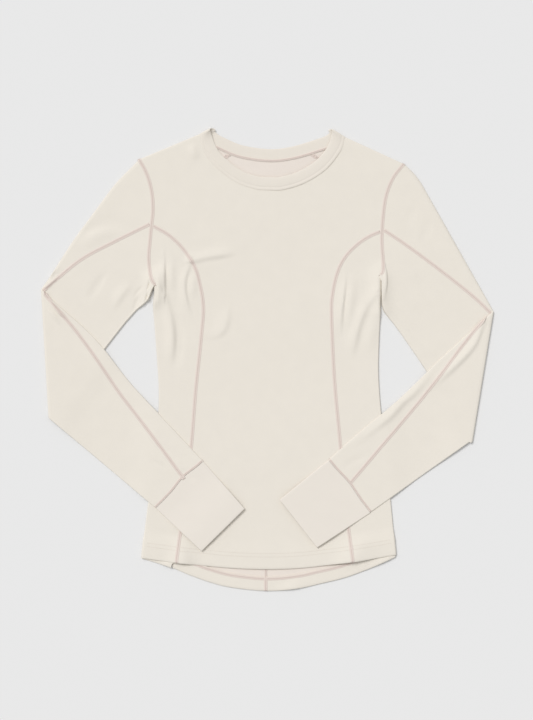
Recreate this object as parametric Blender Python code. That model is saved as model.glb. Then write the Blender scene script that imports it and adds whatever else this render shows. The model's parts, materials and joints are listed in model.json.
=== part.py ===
"""Thermal base layer top, laid flat face up with both sleeves folded over at the elbow.

Frame: metres, +Z up, table at z = 0, +Y towards the neck, +X towards the wearer's left arm.
All sizes below are in millimetres and are turned to metres when a mesh is made.
Each cut piece is drawn as the middle of its cloth, then thickened to the cloth's gauge.
"""
import math
from collections import namedtuple

import bmesh
import bpy
from mathutils import Vector
from mathutils.geometry import delaunay_2d_cdt

MM = 0.001

# ---- cloth -----------------------------------------------------------------------------------
KNIT_WALL = 1.2       # one layer of the waffle knit
COLLAR_WALL = 1.8     # collar band, knit folded double and pressed
CUFF_WALL = 1.6       # cuff, knit folded double and pressed
SEAM_GAP = 0.3        # between two pieces where they are sewn edge to edge
FLAT_STEP = 1.6       # middle of the lower layer to middle of the upper one, where they lie together
FOLD_STEP = 2.4       # the same at a soft folded edge
CUFF_STEP = 2.0       # the same inside a cuff
LOFT_REACH = 26.0     # the upper layer settles from a folded edge over this distance
EDGE_BULGE = FOLD_STEP / 2 + KNIT_WALL / 2      # a folded edge stands this far past its last flat point
LOWER_Z = KNIT_WALL / 2
FOLD_Z = LOWER_Z + FOLD_STEP / 2                # height of the middle of a fold

# ---- mesh fineness ---------------------------------------------------------------------------
CURVE_STEP = 1.5      # sampling of a drawn curve before it is cut into chords
PANEL_GRID = 26.0     # between the points inside a flat panel
EDGE_CLEAR = 10.4     # those points keep this far inside the panel's outline
HEM_STEP = 13.0       # between points along a hem
CORNER_CLEAR = 3.0    # a run of outline points stops this far short of a corner
TURN_STEPS = 4        # facets round a folded edge
NECK_CHORDS = 30      # front neck seam
BACK_NECK_CHORDS = 12           # back neck seam, between the shoulder seams
SHOULDER_COLUMNS = 7            # along a shoulder
SHOULDER_ROWS = 3     # from the shoulder fold to the shoulder seam behind it
FLAP_ROWS = 8         # from where the armhole meets the panel seams down to the armpit
BODY_ROWS = 14        # from the armpit to the hem
SIDE_COLUMNS = 4      # across one layer of a side panel
ARM_FACETS = 4        # half of the facets across a sleeve
ACROSS = 2 * ARM_FACETS
UPPER_ARM_RINGS = (0.05, 0.14, 0.34, 0.56, 0.78, 1.0)     # parts of the way from armhole to elbow
FOREARM_RINGS = 9
CUFF_RINGS = 3

Point = namedtuple("Point", "x y")

# ---- torso outline: short runs of points, each read as one smooth curve ----------------------
ARMHOLE = {
    "right": [Point(-182.3, 286.0), Point(-171.5, 265.0), Point(-164.4, 239.5), Point(-162.6, 213.5),
              Point(-164.7, 192.4), Point(-166.9, 170.0), Point(-168.7, 145.5), Point(-166.8, 124.0),
              Point(-163.8, 106.0), Point(-163.5, 89.0)],
    "left": [Point(192.8, 277.6), Point(178.6, 258.7), Point(169.3, 237.4), Point(165.0, 213.7),
             Point(162.6, 184.0), Point(162.3, 166.8), Point(164.0, 142.7), Point(164.6, 124.0),
             Point(163.6, 104.0), Point(163.0, 82.0)],
}
SIDE_FOLD = {
    "right": [Point(-163.0, 86.0), Point(-159.0, 70.0), Point(-156.9, 20.0), Point(-154.8, -35.0),
              Point(-155.1, -73.0), Point(-158.6, -115.0), Point(-163.3, -163.0), Point(-170.1, -206.0),
              Point(-175.4, -248.0), Point(-178.6, -280.0)],
    "left": [Point(162.8, 79.0), Point(160.5, 66.0), Point(159.0, 29.0), Point(157.8, -13.5),
             Point(160.7, -49.0), Point(162.8, -77.0), Point(166.8, -127.0), Point(171.4, -170.0),
             Point(176.3, -206.0), Point(183.8, -278.0)],
}
FRONT_SEAM = {
    "right": [Point(-164.7, 192.4), Point(-141.6, 179.0), Point(-122.5, 161.5), Point(-106.2, 138.4),
              Point(-98.1, 116.6), Point(-91.2, 78.0), Point(-94.0, 35.0), Point(-102.3, -45.0),
              Point(-107.9, -117.0), Point(-117.1, -198.0), Point(-127.4, -288.5)],
    "left": [Point(162.6, 184.0), Point(145.5, 176.8), Point(128.9, 166.0), Point(112.5, 149.8),
             Point(100.5, 128.5), Point(92.6, 96.0), Point(90.9, 62.0), Point(95.0, -27.7),
             Point(102.5, -111.0), Point(110.0, -198.0), Point(121.2, -287.0)],
}
BACK_SEAM = {
    "right": [Point(-164.9, 190.0), Point(-147.0, 173.0), Point(-130.0, 148.0), Point(-119.0, 112.0),
              Point(-114.5, 60.0), Point(-117.0, 0.0), Point(-121.5, -70.0), Point(-127.0, -150.0),
              Point(-136.2, -294.0)],
    "left": [Point(162.9, 186.0), Point(146.0, 171.0), Point(129.0, 147.0), Point(118.5, 112.0),
             Point(114.5, 60.0), Point(117.5, 0.0), Point(122.0, -70.0), Point(127.0, -150.0),
             Point(137.5, -300.0)],
}
FRONT_HEM = [Point(-182.0, -279.0), Point(-135.6, -285.4), Point(-95.8, -289.8), Point(-49.0, -294.0),
             Point(0.0, -295.5), Point(46.0, -294.0), Point(89.0, -289.2), Point(131.3, -283.4),
             Point(187.0, -274.0)]
BACK_HEM = [Point(-182.0, -279.5), Point(-138.4, -292.0), Point(-110.0, -302.0), Point(-81.6, -313.0),
            Point(-50.4, -321.6), Point(0.0, -327.3), Point(43.3, -325.2), Point(74.5, -317.6),
            Point(111.5, -307.0), Point(148.4, -294.0), Point(187.0, -277.0)]
NECK_FRONT = [Point(-95.8, 321.2), Point(-93.4, 306.0), Point(-88.4, 293.2), Point(-74.5, 276.2),
              Point(-46.1, 254.9), Point(-17.8, 244.9), Point(3.5, 243.2), Point(22.0, 243.8),
              Point(53.2, 253.5), Point(83.1, 271.9), Point(104.4, 299.0), Point(110.0, 315.5)]
NECK_BACK = [Point(-95.8, 321.2), Point(-86.8, 309.5), Point(-70.0, 300.0), Point(-39.0, 287.6),
             Point(3.5, 281.9), Point(39.0, 286.0), Point(74.5, 296.5), Point(98.5, 305.5),
             Point(110.0, 315.5)]
NECK_APEX = {"right": Point(-78.1, 327.0), "left": Point(91.3, 327.0)}
COLLAR_BAND = 18.0            # finished height of the collar
COLLAR_BLEND = 30.0           # near a shoulder fold its free edge runs over to the apex over this
BACK_SHOULDER_DROP = {"neck": 41.5, "arm": 31.0}    # the shoulder seam lies this far behind the fold
YOKE_SEAM_Y = 208.0
CENTRE_BACK_X = -2.5

# ---- sleeves: one cut, folded over at the elbow ----------------------------------------------
# "along" runs down the straight outer edge from the shoulder corner, "width" is square to it.
SleeveRow = namedtuple("SleeveRow", "along width")
SLEEVE_CUT = [SleeveRow(150.0, 130.5), SleeveRow(248.0, 123.5), SleeveRow(372.0, 118.0),
              SleeveRow(470.0, 106.5), SleeveRow(568.0, 95.0)]
ELBOW_WIDTH = 118.0           # width used round the elbow fold
CUFF_LENGTH = 88.0
CUFF_END_WIDTH = 86.5
ELBOW_RADIUS = 2.4            # the middle of the flat tube turns round this at the elbow

# How each sleeve lies. corner_inset: the shoulder corner lies this far inside the line of the outer
# edge; length: along the outer edge to the cuff; seam_slant: the cuff seam's underarm end lies this
# much further along; cuff_sway: the cuff's end is pulled this far sideways.
ArmPose = namedtuple("ArmPose", "turn corner_inset arm_angle elbow_along forearm_angle "
                                "length seam_slant cuff_sway")
ARM_POSE = {
    "right": ArmPose(1, 2.2, 233.5, 234.0, 313.2, 567.0, 2.0, 0.0),
    "left": ArmPose(-1, 8.5, 299.0, 248.3, 222.1, 558.5, 6.0, -7.6),
}
CORNER_REACH = 40.0           # the rounded shoulder corner runs out into the straight edge over this
CAP_FADE = 1.5                # how fast the armhole's curve dies out along the sleeve
# height of the forearm above the upper arm's own level, by distance from the elbow fold
LiftRow = namedtuple("LiftRow", "distance lift")
FOREARM_LIFT = [LiftRow(0.0, 2 * ELBOW_RADIUS), LiftRow(70.0, 4.4), LiftRow(150.0, 4.1),
                LiftRow(192.0, 3.3), LiftRow(400.0, 3.3)]

SIDES = ("right", "left")
CLOTH_COLOUR = (0.80, 0.755, 0.675, 1.0)
CUFF_COLOUR = (0.815, 0.76, 0.685, 1.0)
COLLAR_COLOUR = (0.77, 0.72, 0.64, 1.0)


# ---- plane geometry --------------------------------------------------------------------------
def smooth_curve(points, step):
    """Catmull-Rom curve through the points, sampled about every step."""
    knots = [Vector(p) for p in points]
    first = knots[0] * 2 - knots[1]
    last = knots[-1] * 2 - knots[-2]
    padded = [first] + knots + [last]
    curve = []
    for i in range(1, len(padded) - 2):
        before, start, end, after = padded[i - 1:i + 3]
        count = max(1, round((end - start).length / step))
        for k in range(count):
            t = k / count
            curve.append(0.5 * (2 * start + (end - before) * t
                                + (2 * before - 5 * start + 4 * end - after) * t ** 2
                                + (3 * start - before - 3 * end + after) * t ** 3))
    curve.append(knots[-1])
    return curve


def resample(curve, count):
    """The same curve as count + 1 evenly spaced points."""
    lengths = [0.0]
    for a, b in zip(curve, curve[1:]):
        lengths.append(lengths[-1] + (b - a).length)
    result = []
    for k in range(count + 1):
        want = lengths[-1] * k / count
        i = max(j for j in range(len(curve) - 1) if lengths[j] <= want + 1e-9)
        part = (want - lengths[i]) / (lengths[i + 1] - lengths[i])
        result.append(curve[i].lerp(curve[i + 1], min(part, 1.0)))
    return result


def tangents(curve):
    result = []
    for i in range(len(curve)):
        ahead = curve[min(i + 1, len(curve) - 1)]
        behind = curve[max(i - 1, 0)]
        result.append((ahead - behind).normalized())
    return result


def shifted(curve, distance):
    """The curve moved sideways, to the left of its own direction when distance is positive."""
    return [p + Vector((-t.y, t.x)) * distance for p, t in zip(curve, tangents(curve))]


def x_at(curve, y):
    """Where a curve that runs downwards crosses a level."""
    for a, b in zip(curve, curve[1:]):
        if a.y >= y >= b.y and a.y > b.y:
            return a.x + (b.x - a.x) * (a.y - y) / (a.y - b.y)
    return curve[0].x if y > curve[0].y else curve[-1].x


def y_on(curve, x):
    """Height of a curve that runs in +X at a place across."""
    for a, b in zip(curve, curve[1:]):
        if a.x <= x <= b.x:
            return a.y + (b.y - a.y) * (x - a.x) / (b.x - a.x)
    return curve[0].y if x < curve[0].x else curve[-1].y


def between(curve, low, high):
    """The points of a curve from one level to another, in the curve's own order."""
    return [p for p in curve if low <= p.y <= high]


def distance_to(curve, point):
    best = 1e9
    for a, b in zip(curve, curve[1:]):
        run = b - a
        part = max(0.0, min(1.0, (point - a).dot(run) / run.length_squared))
        best = min(best, (point - a - run * part).length)
    return best


def settle(distance):
    """1 at a folded edge, falling smoothly to 0 at the loft's reach."""
    part = max(0.0, min(1.0, distance / LOFT_REACH))
    return 1 - part * part * (3 - 2 * part)


# ---- solids ----------------------------------------------------------------------------------
def make_material(name, colour, roughness):
    material = bpy.data.materials.new(name)
    material.use_nodes = True
    shader = material.node_tree.nodes["Principled BSDF"]
    shader.inputs["Base Color"].default_value = colour
    shader.inputs["Roughness"].default_value = roughness
    shader.inputs["Metallic"].default_value = 0.0
    return material


def cloth_solid(name, points, faces, wall, colour, roughness=0.9):
    """Thicken a sheet (points in mm, faces as index lists) into one closed piece of cloth."""
    normals = [Vector((0, 0, 0)) for _ in points]
    edges = {}
    for face in faces:
        ring = [points[i] for i in face]
        normal = Vector((0, 0, 0))
        for a, b in zip(ring, ring[1:] + ring[:1]):
            normal += a.cross(b)
        for i, j in zip(face, list(face[1:]) + [face[0]]):
            normals[i] += normal
            key = (min(i, j), max(i, j))
            edges[key] = None if key in edges else (i, j)
    mesh = bmesh.new()
    upper = []
    lower = []
    for point, normal in zip(points, normals):
        offset = normal.normalized() * (wall / 2)
        upper.append(mesh.verts.new((point + offset) * MM))
        lower.append(mesh.verts.new((point - offset) * MM))
    for face in faces:
        mesh.faces.new([upper[i] for i in face])
        mesh.faces.new([lower[i] for i in reversed(face)])
    for rim in edges.values():
        if rim:
            i, j = rim
            mesh.faces.new([upper[j], upper[i], lower[i], lower[j]])
    bmesh.ops.recalc_face_normals(mesh, faces=mesh.faces)
    data = bpy.data.meshes.new(name)
    mesh.to_mesh(data)
    mesh.free()
    piece = bpy.data.objects.new(name, data)
    bpy.context.scene.collection.objects.link(piece)
    data.materials.append(make_material(name + "_knit", colour, roughness))
    data.shade_smooth()
    data.set_sharp_from_angle(angle=math.radians(50))
    return piece


def grid_faces(rows, first=0, closed=False):
    """Quads joining rows of equal length whose points are numbered one row after another."""
    width = len(rows[0])
    faces = []
    for r in range(len(rows) - 1):
        for c in range(width if closed else width - 1):
            d = (c + 1) % width
            a = first + r * width
            b = a + width
            faces.append([a + c, a + d, b + d, b + c])
    return faces


def filled_outline(outline):
    """Triangles that fill a plan outline, with an even grid of points inside it."""
    same = 0.5                # points closer than this count as one
    ring = []
    for p in outline:
        if not ring or (p - ring[-1]).length > same:
            ring.append(p)
    if (ring[0] - ring[-1]).length < same:
        ring.pop()
    closed = ring + [ring[0]]
    low_x, high_x = min(p.x for p in ring), max(p.x for p in ring)
    low_y, high_y = min(p.y for p in ring), max(p.y for p in ring)
    inner = []
    for row in range(int((high_y - low_y) / PANEL_GRID) + 1):
        for column in range(int((high_x - low_x) / PANEL_GRID) + 2):
            p = Vector((low_x + (column + row % 2 / 2) * PANEL_GRID, low_y + (row + 1 / 2) * PANEL_GRID))
            crossings = sum(1 for a, b in zip(closed, closed[1:]) if (a.y > p.y) != (b.y > p.y)
                            and p.x < a.x + (b.x - a.x) * (p.y - a.y) / (b.y - a.y))
            if crossings % 2 and distance_to(closed, p) > EDGE_CLEAR:
                inner.append(p)
    inside_only = 1
    verts, _, faces, sources, _, _ = delaunay_2d_cdt(ring + inner, [], [list(range(len(ring)))],
                                                     inside_only, 1e-4)
    place = {source: i for i, group in enumerate(sources) for source in group}
    return [Vector(v) for v in verts], [list(f) for f in faces], ring, place


# ---- curves of the torso ---------------------------------------------------------------------
# Each sewing line is one run of straight chords, which the pieces on both its sides follow.
def in_parts(curve, cuts, counts):
    """The curve cut at the given point numbers, each part evenly resampled to its own count."""
    stops = [0] + list(cuts) + [len(curve) - 1]
    result = []
    for start, stop, count in zip(stops, stops[1:], counts):
        result += resample(curve[start:stop + 1], count)[:-1]
    return result + [curve[-1]]


def first_index(curve, test):
    return next(i for i, p in enumerate(curve) if test(p))


def make_curves():
    """Every seam and fold, running down or, on hems and neck, towards +X."""
    curves = {"front_hem": smooth_curve(FRONT_HEM, HEM_STEP), "back_hem": smooth_curve(BACK_HEM, HEM_STEP)}
    out = {}
    for side in SIDES:
        inwards = 1 if side == "right" else -1
        arm = Vector(ARMHOLE[side][0])
        neck = Vector(NECK_FRONT[0 if side == "right" else -1])
        out[side] = Vector((-(neck - arm).y, (neck - arm).x)).normalized() * inwards
        curves["shoulder_out_" + side] = out[side]
        curves["shoulder_" + side] = [arm - out[side] * EDGE_BULGE, neck - out[side] * EDGE_BULGE]
        armhole = smooth_curve([curves["shoulder_" + side][0]] + ARMHOLE[side][1:], CURVE_STEP)
        meet = first_index(armhole, lambda p: p.y <= FRONT_SEAM[side][0].y)
        curves["armhole_" + side] = in_parts(armhole, [meet], [ARM_FACETS, ARM_FACETS])
        fold = smooth_curve(SIDE_FOLD[side], CURVE_STEP)
        curves["fold_" + side] = [p + Vector((inwards * EDGE_BULGE, 0)) for p in fold]
        for name, rows in (("front_seam_", FRONT_SEAM), ("back_seam_", BACK_SEAM)):
            seam = smooth_curve([armhole[meet]] + rows[side][1:], CURVE_STEP)
            hem = curves["front_hem" if name == "front_seam_" else "back_hem"]
            seam = [p for p in seam if p.y > y_on(hem, p.x) + CURVE_STEP / 2]
            seam.append(Vector((seam[-1].x, y_on(hem, seam[-1].x))))
            cut = first_index(seam, lambda p: p.y <= SIDE_FOLD[side][0].y)
            curves[name + side] = in_parts(seam, [cut], [FLAP_ROWS, BODY_ROWS])
    ends = [curves["shoulder_right"][1], curves["shoulder_left"][1]]
    front = smooth_curve([ends[0]] + NECK_FRONT[1:-1] + [ends[1]], CURVE_STEP)
    curves["neck_front"] = resample(front, NECK_CHORDS)
    back = smooth_curve([ends[0]] + NECK_BACK[1:-1] + [ends[1]], CURVE_STEP)
    drop = BACK_SHOULDER_DROP["neck"]
    start = first_index(back, lambda p: (ends[0] - p).dot(out["right"]) >= drop)
    stop = len(back) - first_index(back[::-1], lambda p: (ends[1] - p).dot(out["left"]) >= drop)
    curves["neck_back"] = in_parts(back, [start, stop], [SHOULDER_ROWS, BACK_NECK_CHORDS, SHOULDER_ROWS])
    return curves


CURVES = make_curves()
RIMS = [CURVES[kind + "_" + side] for side in SIDES for kind in ("fold", "armhole", "shoulder")]
RIMS.append(CURVES["neck_front"])


def upper_z(point):
    """Height of the middle of the front layer over a place on the table."""
    lift = max(settle(distance_to(rim, point)) for rim in RIMS)
    return LOWER_Z + FLAT_STEP + (FOLD_STEP - FLAT_STEP) * lift


def turn_points(point, outward):
    """Points from the upper layer round a folded edge down to the lower layer, both ends left out."""
    result = []
    for k in range(1, TURN_STEPS):
        angle = math.pi * k / TURN_STEPS
        reach = outward * (FOLD_STEP / 2 * math.sin(angle))
        z = FOLD_Z + FOLD_STEP / 2 * math.cos(angle)
        result.append(Vector((point.x + reach.x, point.y + reach.y, z)))
    return result


# ---- front: one piece from seam to seam, rolled over the shoulders to the back ---------------
def back_arm_run(side):
    """The back armhole from the shoulder fold to the shoulder seam behind it, in SHOULDER_ROWS chords."""
    top, bend, after = CURVES["armhole_" + side][:3]
    out = CURVES["shoulder_out_" + side]
    left_to_go = BACK_SHOULDER_DROP["arm"] - (top - bend).dot(out)
    corner = bend.lerp(after, left_to_go / (bend - after).dot(out))
    return [top, top.lerp(bend, 0.5), bend, corner]


def back_neck_run(side):
    """The back neck from the shoulder fold to the shoulder seam behind it."""
    neck = CURVES["neck_back"]
    return neck[:SHOULDER_ROWS + 1] if side == "right" else neck[::-1][:SHOULDER_ROWS + 1]


def hem_run(name, low, high):
    """The points of a hem that lie between two places across, clear of both corners."""
    return [p for p in CURVES[name] if low + CORNER_CLEAR < p.x < high - CORNER_CLEAR]


def build_front():
    half = SEAM_GAP / 2
    shoulders = {}
    for side in SIDES:
        arm, neck = CURVES["shoulder_" + side]
        along = (neck - arm).normalized()
        shoulders[side] = resample([arm + along * SEAM_GAP, neck - along * SEAM_GAP], SHOULDER_COLUMNS)
    right_seam, left_seam = CURVES["front_seam_right"], CURVES["front_seam_left"]
    right_run, left_run = shifted(right_seam, half), shifted(left_seam[::-1], half)
    right_arm = shifted(CURVES["armhole_right"][:ARM_FACETS + 1], half)
    left_arm = shifted(CURVES["armhole_left"][:ARM_FACETS + 1][::-1], half)
    neck = shifted(CURVES["neck_front"][::-1], half)
    hem = hem_run("front_hem", right_run[-1].x, left_run[0].x)
    outline = ([right_run[-1]] + hem + left_run[:-1] + left_arm[:-1] + shoulders["left"] + neck[1:-1]
               + shoulders["right"][::-1] + right_arm[1:] + right_run[1:-1])
    plan, faces, ring, place = filled_outline(outline)
    points = [Vector((p.x, p.y, upper_z(p))) for p in plan]
    for side in SIDES:
        flip = 1 if side == "right" else -1
        out = CURVES["shoulder_out_" + side]
        fold = [place[ring.index(p)] for p in shoulders[side]]
        turned = [turn_points(points[i], out) for i in fold]
        rows = [[column[k] for column in turned] for k in range(TURN_STEPS - 1)]
        rows.append([Vector((p.x, p.y, LOWER_Z)) for p in shoulders[side]])
        arm_run = shifted(back_arm_run(side), half * flip)
        neck_run = shifted(back_neck_run(side), -half * flip)
        for k in range(1, SHOULDER_ROWS + 1):
            clear = out * (half if k == SHOULDER_ROWS else 0.0)
            row = resample([arm_run[k] + clear, neck_run[k] + clear], SHOULDER_COLUMNS)
            rows.append([Vector((p.x, p.y, LOWER_Z)) for p in row])
        first = len(points)
        points += [p for row in rows for p in row]
        added = [[fold[c], fold[c + 1], first + c + 1, first + c] for c in range(SHOULDER_COLUMNS)]
        added += grid_faces(rows, first)
        faces += added if side == "right" else [face[::-1] for face in added]
    return cloth_solid("front", points, faces, KNIT_WALL, CLOTH_COLOUR)


# ---- back: a yoke over two lower panels ------------------------------------------------------
def build_back():
    corner = {side: back_arm_run(side)[-1] for side in SIDES}
    armhole = {}
    seam_end = {}
    for side in SIDES:
        curve = CURVES["armhole_" + side]
        armhole[side] = between(curve, YOKE_SEAM_Y + CURVE_STEP, corner[side].y - CURVE_STEP)
        seam_end[side] = Vector((x_at(curve, YOKE_SEAM_Y), YOKE_SEAM_Y))
    neck = CURVES["neck_back"][SHOULDER_ROWS:-SHOULDER_ROWS]
    build_flat("back_yoke", straight_run(seam_end["right"], seam_end["left"])
               + armhole["left"][::-1] + straight_run(corner["left"], neck[-1])[:-1]
               + neck[::-1] + straight_run(neck[0], corner["right"])[1:] + armhole["right"])
    top_centre = Vector((CENTRE_BACK_X, YOKE_SEAM_Y))
    foot = Vector((CENTRE_BACK_X, y_on(CURVES["back_hem"], CENTRE_BACK_X)))
    for side in SIDES:
        seam = CURVES["back_seam_" + side]
        low, high = sorted((seam[-1].x, CENTRE_BACK_X))
        run = hem_run("back_hem", low, high)
        arm = between(CURVES["armhole_" + side], seam[0].y + CURVE_STEP, YOKE_SEAM_Y - CURVE_STEP)
        build_flat("back_" + side, [seam_end[side]] + arm + seam + (run if side == "right" else run[::-1])
                   + straight_run(foot, top_centre) + straight_run(top_centre, seam_end[side])[1:-1])


def straight_run(start, end):
    return resample([start, end], max(1, round((end - start).length / PANEL_GRID)))


def build_flat(name, outline):
    """A panel that lies on the table, a half seam gap inside its sewing lines."""
    sharpest = 0.4            # at a sharp corner the inset stops growing here
    area = sum(a.x * b.y - b.x * a.y for a, b in zip(outline, outline[1:] + outline[:1]))
    ring = outline if area > 0 else outline[::-1]
    inset = []
    count = len(ring)
    for i, p in enumerate(ring):
        before = (p - ring[i - 1]).normalized()
        after = (ring[(i + 1) % count] - p).normalized()
        inwards = Vector((-(before + after).y, (before + after).x)).normalized()
        spread = max(sharpest, Vector((-before.y, before.x)).dot(inwards))
        inset.append(p + inwards * (SEAM_GAP / 2 / spread))
    plan, faces, _, _ = filled_outline(inset)
    points = [Vector((p.x, p.y, LOWER_Z)) for p in plan]
    return cloth_solid(name, points, faces, KNIT_WALL, CLOTH_COLOUR)


# ---- side panels: front seam, round the side fold, to the back seam --------------------------
def build_side(side):
    inwards = 1 if side == "right" else -1
    half = SEAM_GAP / 2
    tip = 1 / 4               # the panel's pointed top starts this part of the way down its first row
    fold = CURVES["fold_" + side]
    lower_arm = shifted(CURVES["armhole_" + side][ARM_FACETS:], half * inwards)
    armhole = [p for a, b in zip(lower_arm, lower_arm[1:]) for p in (a, a.lerp(b, 1 / 2))] + [lower_arm[-1]]
    points = []
    index = {}

    def add(key, plan, z):
        index[key] = len(points)
        points.append(Vector((plan.x, plan.y, z)))

    for layer in ("front", "back"):
        seam = shifted(CURVES[layer + "_seam_" + side], -half * inwards)
        hem = CURVES[layer + "_hem"]
        inner = [seam[0].lerp(seam[1], tip)] + seam[1:]
        outer = [armhole[0].lerp(armhole[1], tip)] + armhole[1:-1]
        foot = y_on(hem, fold[-1].x)
        for r in range(BODY_ROWS + 1):
            level = fold[0].y + (foot - fold[0].y) * r / BODY_ROWS
            outer.append(Vector((x_at(fold, level), level)))
        for r, (near, far) in enumerate(zip(inner, outer)):
            for c in range(SIDE_COLUMNS + 1):
                plan = near.lerp(far, c / SIDE_COLUMNS)
                if r == FLAP_ROWS + BODY_ROWS and 0 < c < SIDE_COLUMNS:
                    plan.y = y_on(hem, plan.x)
                add((layer, r, c), plan, upper_z(plan) if layer == "front" else LOWER_Z)
    rows = FLAP_ROWS + BODY_ROWS + 1
    for r in range(FLAP_ROWS, rows):
        for k, p in enumerate(turn_points(points[index["front", r, SIDE_COLUMNS]], Vector((-inwards, 0)))):
            add(("turn", r, k), p, p.z)
    columns = [("front", c) for c in range(SIDE_COLUMNS + 1)] + [("turn", k) for k in range(TURN_STEPS - 1)]
    columns += [("back", c) for c in range(SIDE_COLUMNS, -1, -1)]
    faces = []
    for r in range(rows - 1):
        for (kind, c), (next_kind, d) in zip(columns, columns[1:]):
            keys = [(kind, r, c), (next_kind, r, d), (next_kind, r + 1, d), (kind, r + 1, c)]
            if all(key in index for key in keys):
                faces.append([index[key] for key in keys])
    return cloth_solid("side_" + side, points, faces, KNIT_WALL, CLOTH_COLOUR)


# ---- sleeves and cuffs: flat tubes folded at the elbow ---------------------------------------
class Arm:
    """Turns places on a sleeve's flat cut into places on the folded sleeve."""

    def __init__(self, side):
        pose = ARM_POSE[side]
        arm_angle = math.radians(pose.arm_angle)
        self.along = Vector((math.cos(arm_angle), math.sin(arm_angle)))
        self.across = Vector((-self.along.y, self.along.x)) * pose.turn
        self.start = Vector(ARMHOLE[side][0]) - self.across * pose.corner_inset
        self.crease = math.radians(abs(pose.forearm_angle - pose.arm_angle)) / 2
        silhouette = ELBOW_RADIUS + EDGE_BULGE
        self.crease_along = pose.elbow_along - silhouette / math.sin(self.crease)
        self.crease_dir = self.along * math.cos(self.crease) + self.across * math.sin(self.crease)
        self.crease_out = self.along * math.sin(self.crease) - self.across * math.cos(self.crease)
        self.crease_start = self.start + self.along * self.crease_along
        self.pose = pose

    def flat(self, point):
        """(along, across) of a plan point on the upper arm."""
        offset = point - self.start
        return Vector((offset.dot(self.along), offset.dot(self.across)))

    def past_crease(self, place):
        return (place.x - self.crease_along) * math.sin(self.crease) - place.y * math.cos(self.crease)

    def along_at(self, distance, across):
        """Where the line parallel to the crease, this far past it, crosses a given across."""
        return self.crease_along + (distance + across * math.cos(self.crease)) / math.sin(self.crease)

    def folded(self, place, height):
        """Plan place on the flat cut and height off the tube's middle, taken round the elbow."""
        distance = self.past_crease(place)
        run = (place.x - self.crease_along) * math.cos(self.crease) + place.y * math.sin(self.crease)
        turn_length = math.pi * ELBOW_RADIUS
        if distance <= 0:
            reach, z = distance, FOLD_Z + height
        elif distance < turn_length:
            angle = distance / ELBOW_RADIUS
            reach = (ELBOW_RADIUS - height) * math.sin(angle)
            z = FOLD_Z + ELBOW_RADIUS - (ELBOW_RADIUS - height) * math.cos(angle)
        else:
            reach = turn_length - distance
            z = FOLD_Z + forearm_lift(-reach) - height
        plan = self.crease_start + self.crease_dir * run + self.crease_out * reach
        return Vector((plan.x, plan.y, z))


def forearm_lift(distance):
    for a, b in zip(FOREARM_LIFT, FOREARM_LIFT[1:]):
        if distance <= b.distance:
            part = (distance - a.distance) / (b.distance - a.distance)
            return a.lift + (b.lift - a.lift) * part * part * (3 - 2 * part)
    return FOREARM_LIFT[-1].lift


def sleeve_width(along):
    for a, b in zip(SLEEVE_CUT, SLEEVE_CUT[1:]):
        if along <= b.along:
            return a.width + (b.width - a.width) * max(0.0, along - a.along) / (b.along - a.along)
    return SLEEVE_CUT[-1].width


def tube_ring(arm, upper, outer_out, under_out, step):
    """One closed loop round a flat tube.

    upper: plan places on the flat cut, from the outer edge to the underarm edge.
    outer_out, under_out: the directions in which the two folded edges stand out.
    step: from layer to layer, in the middle of the tube.
    """
    width = (upper[-1] - upper[0]).length
    top = FOLD_STEP / 2
    ring = []
    for k, place in enumerate(upper):
        edge = min(k, len(upper) - 1 - k) / (len(upper) - 1) * width
        ring.append(arm.folded(place, -top + step + (FOLD_STEP - step) * settle(edge)))
    for k in range(1, TURN_STEPS):
        angle = math.pi * k / TURN_STEPS
        ring.append(arm.folded(upper[-1] + under_out * top * math.sin(angle), top * math.cos(angle)))
    for place in reversed(upper):
        ring.append(arm.folded(place, -top))
    for k in range(1, TURN_STEPS):
        angle = math.pi * k / TURN_STEPS
        ring.append(arm.folded(upper[0] + outer_out * top * math.sin(angle), -top * math.cos(angle)))
    return ring


def straight_places(outer_along, under_along, width, sway=0.0):
    outer = Vector((outer_along, sway + EDGE_BULGE))
    under = Vector((under_along, sway + width - EDGE_BULGE))
    return [outer.lerp(under, k / ACROSS) for k in range(ACROSS + 1)]


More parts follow.
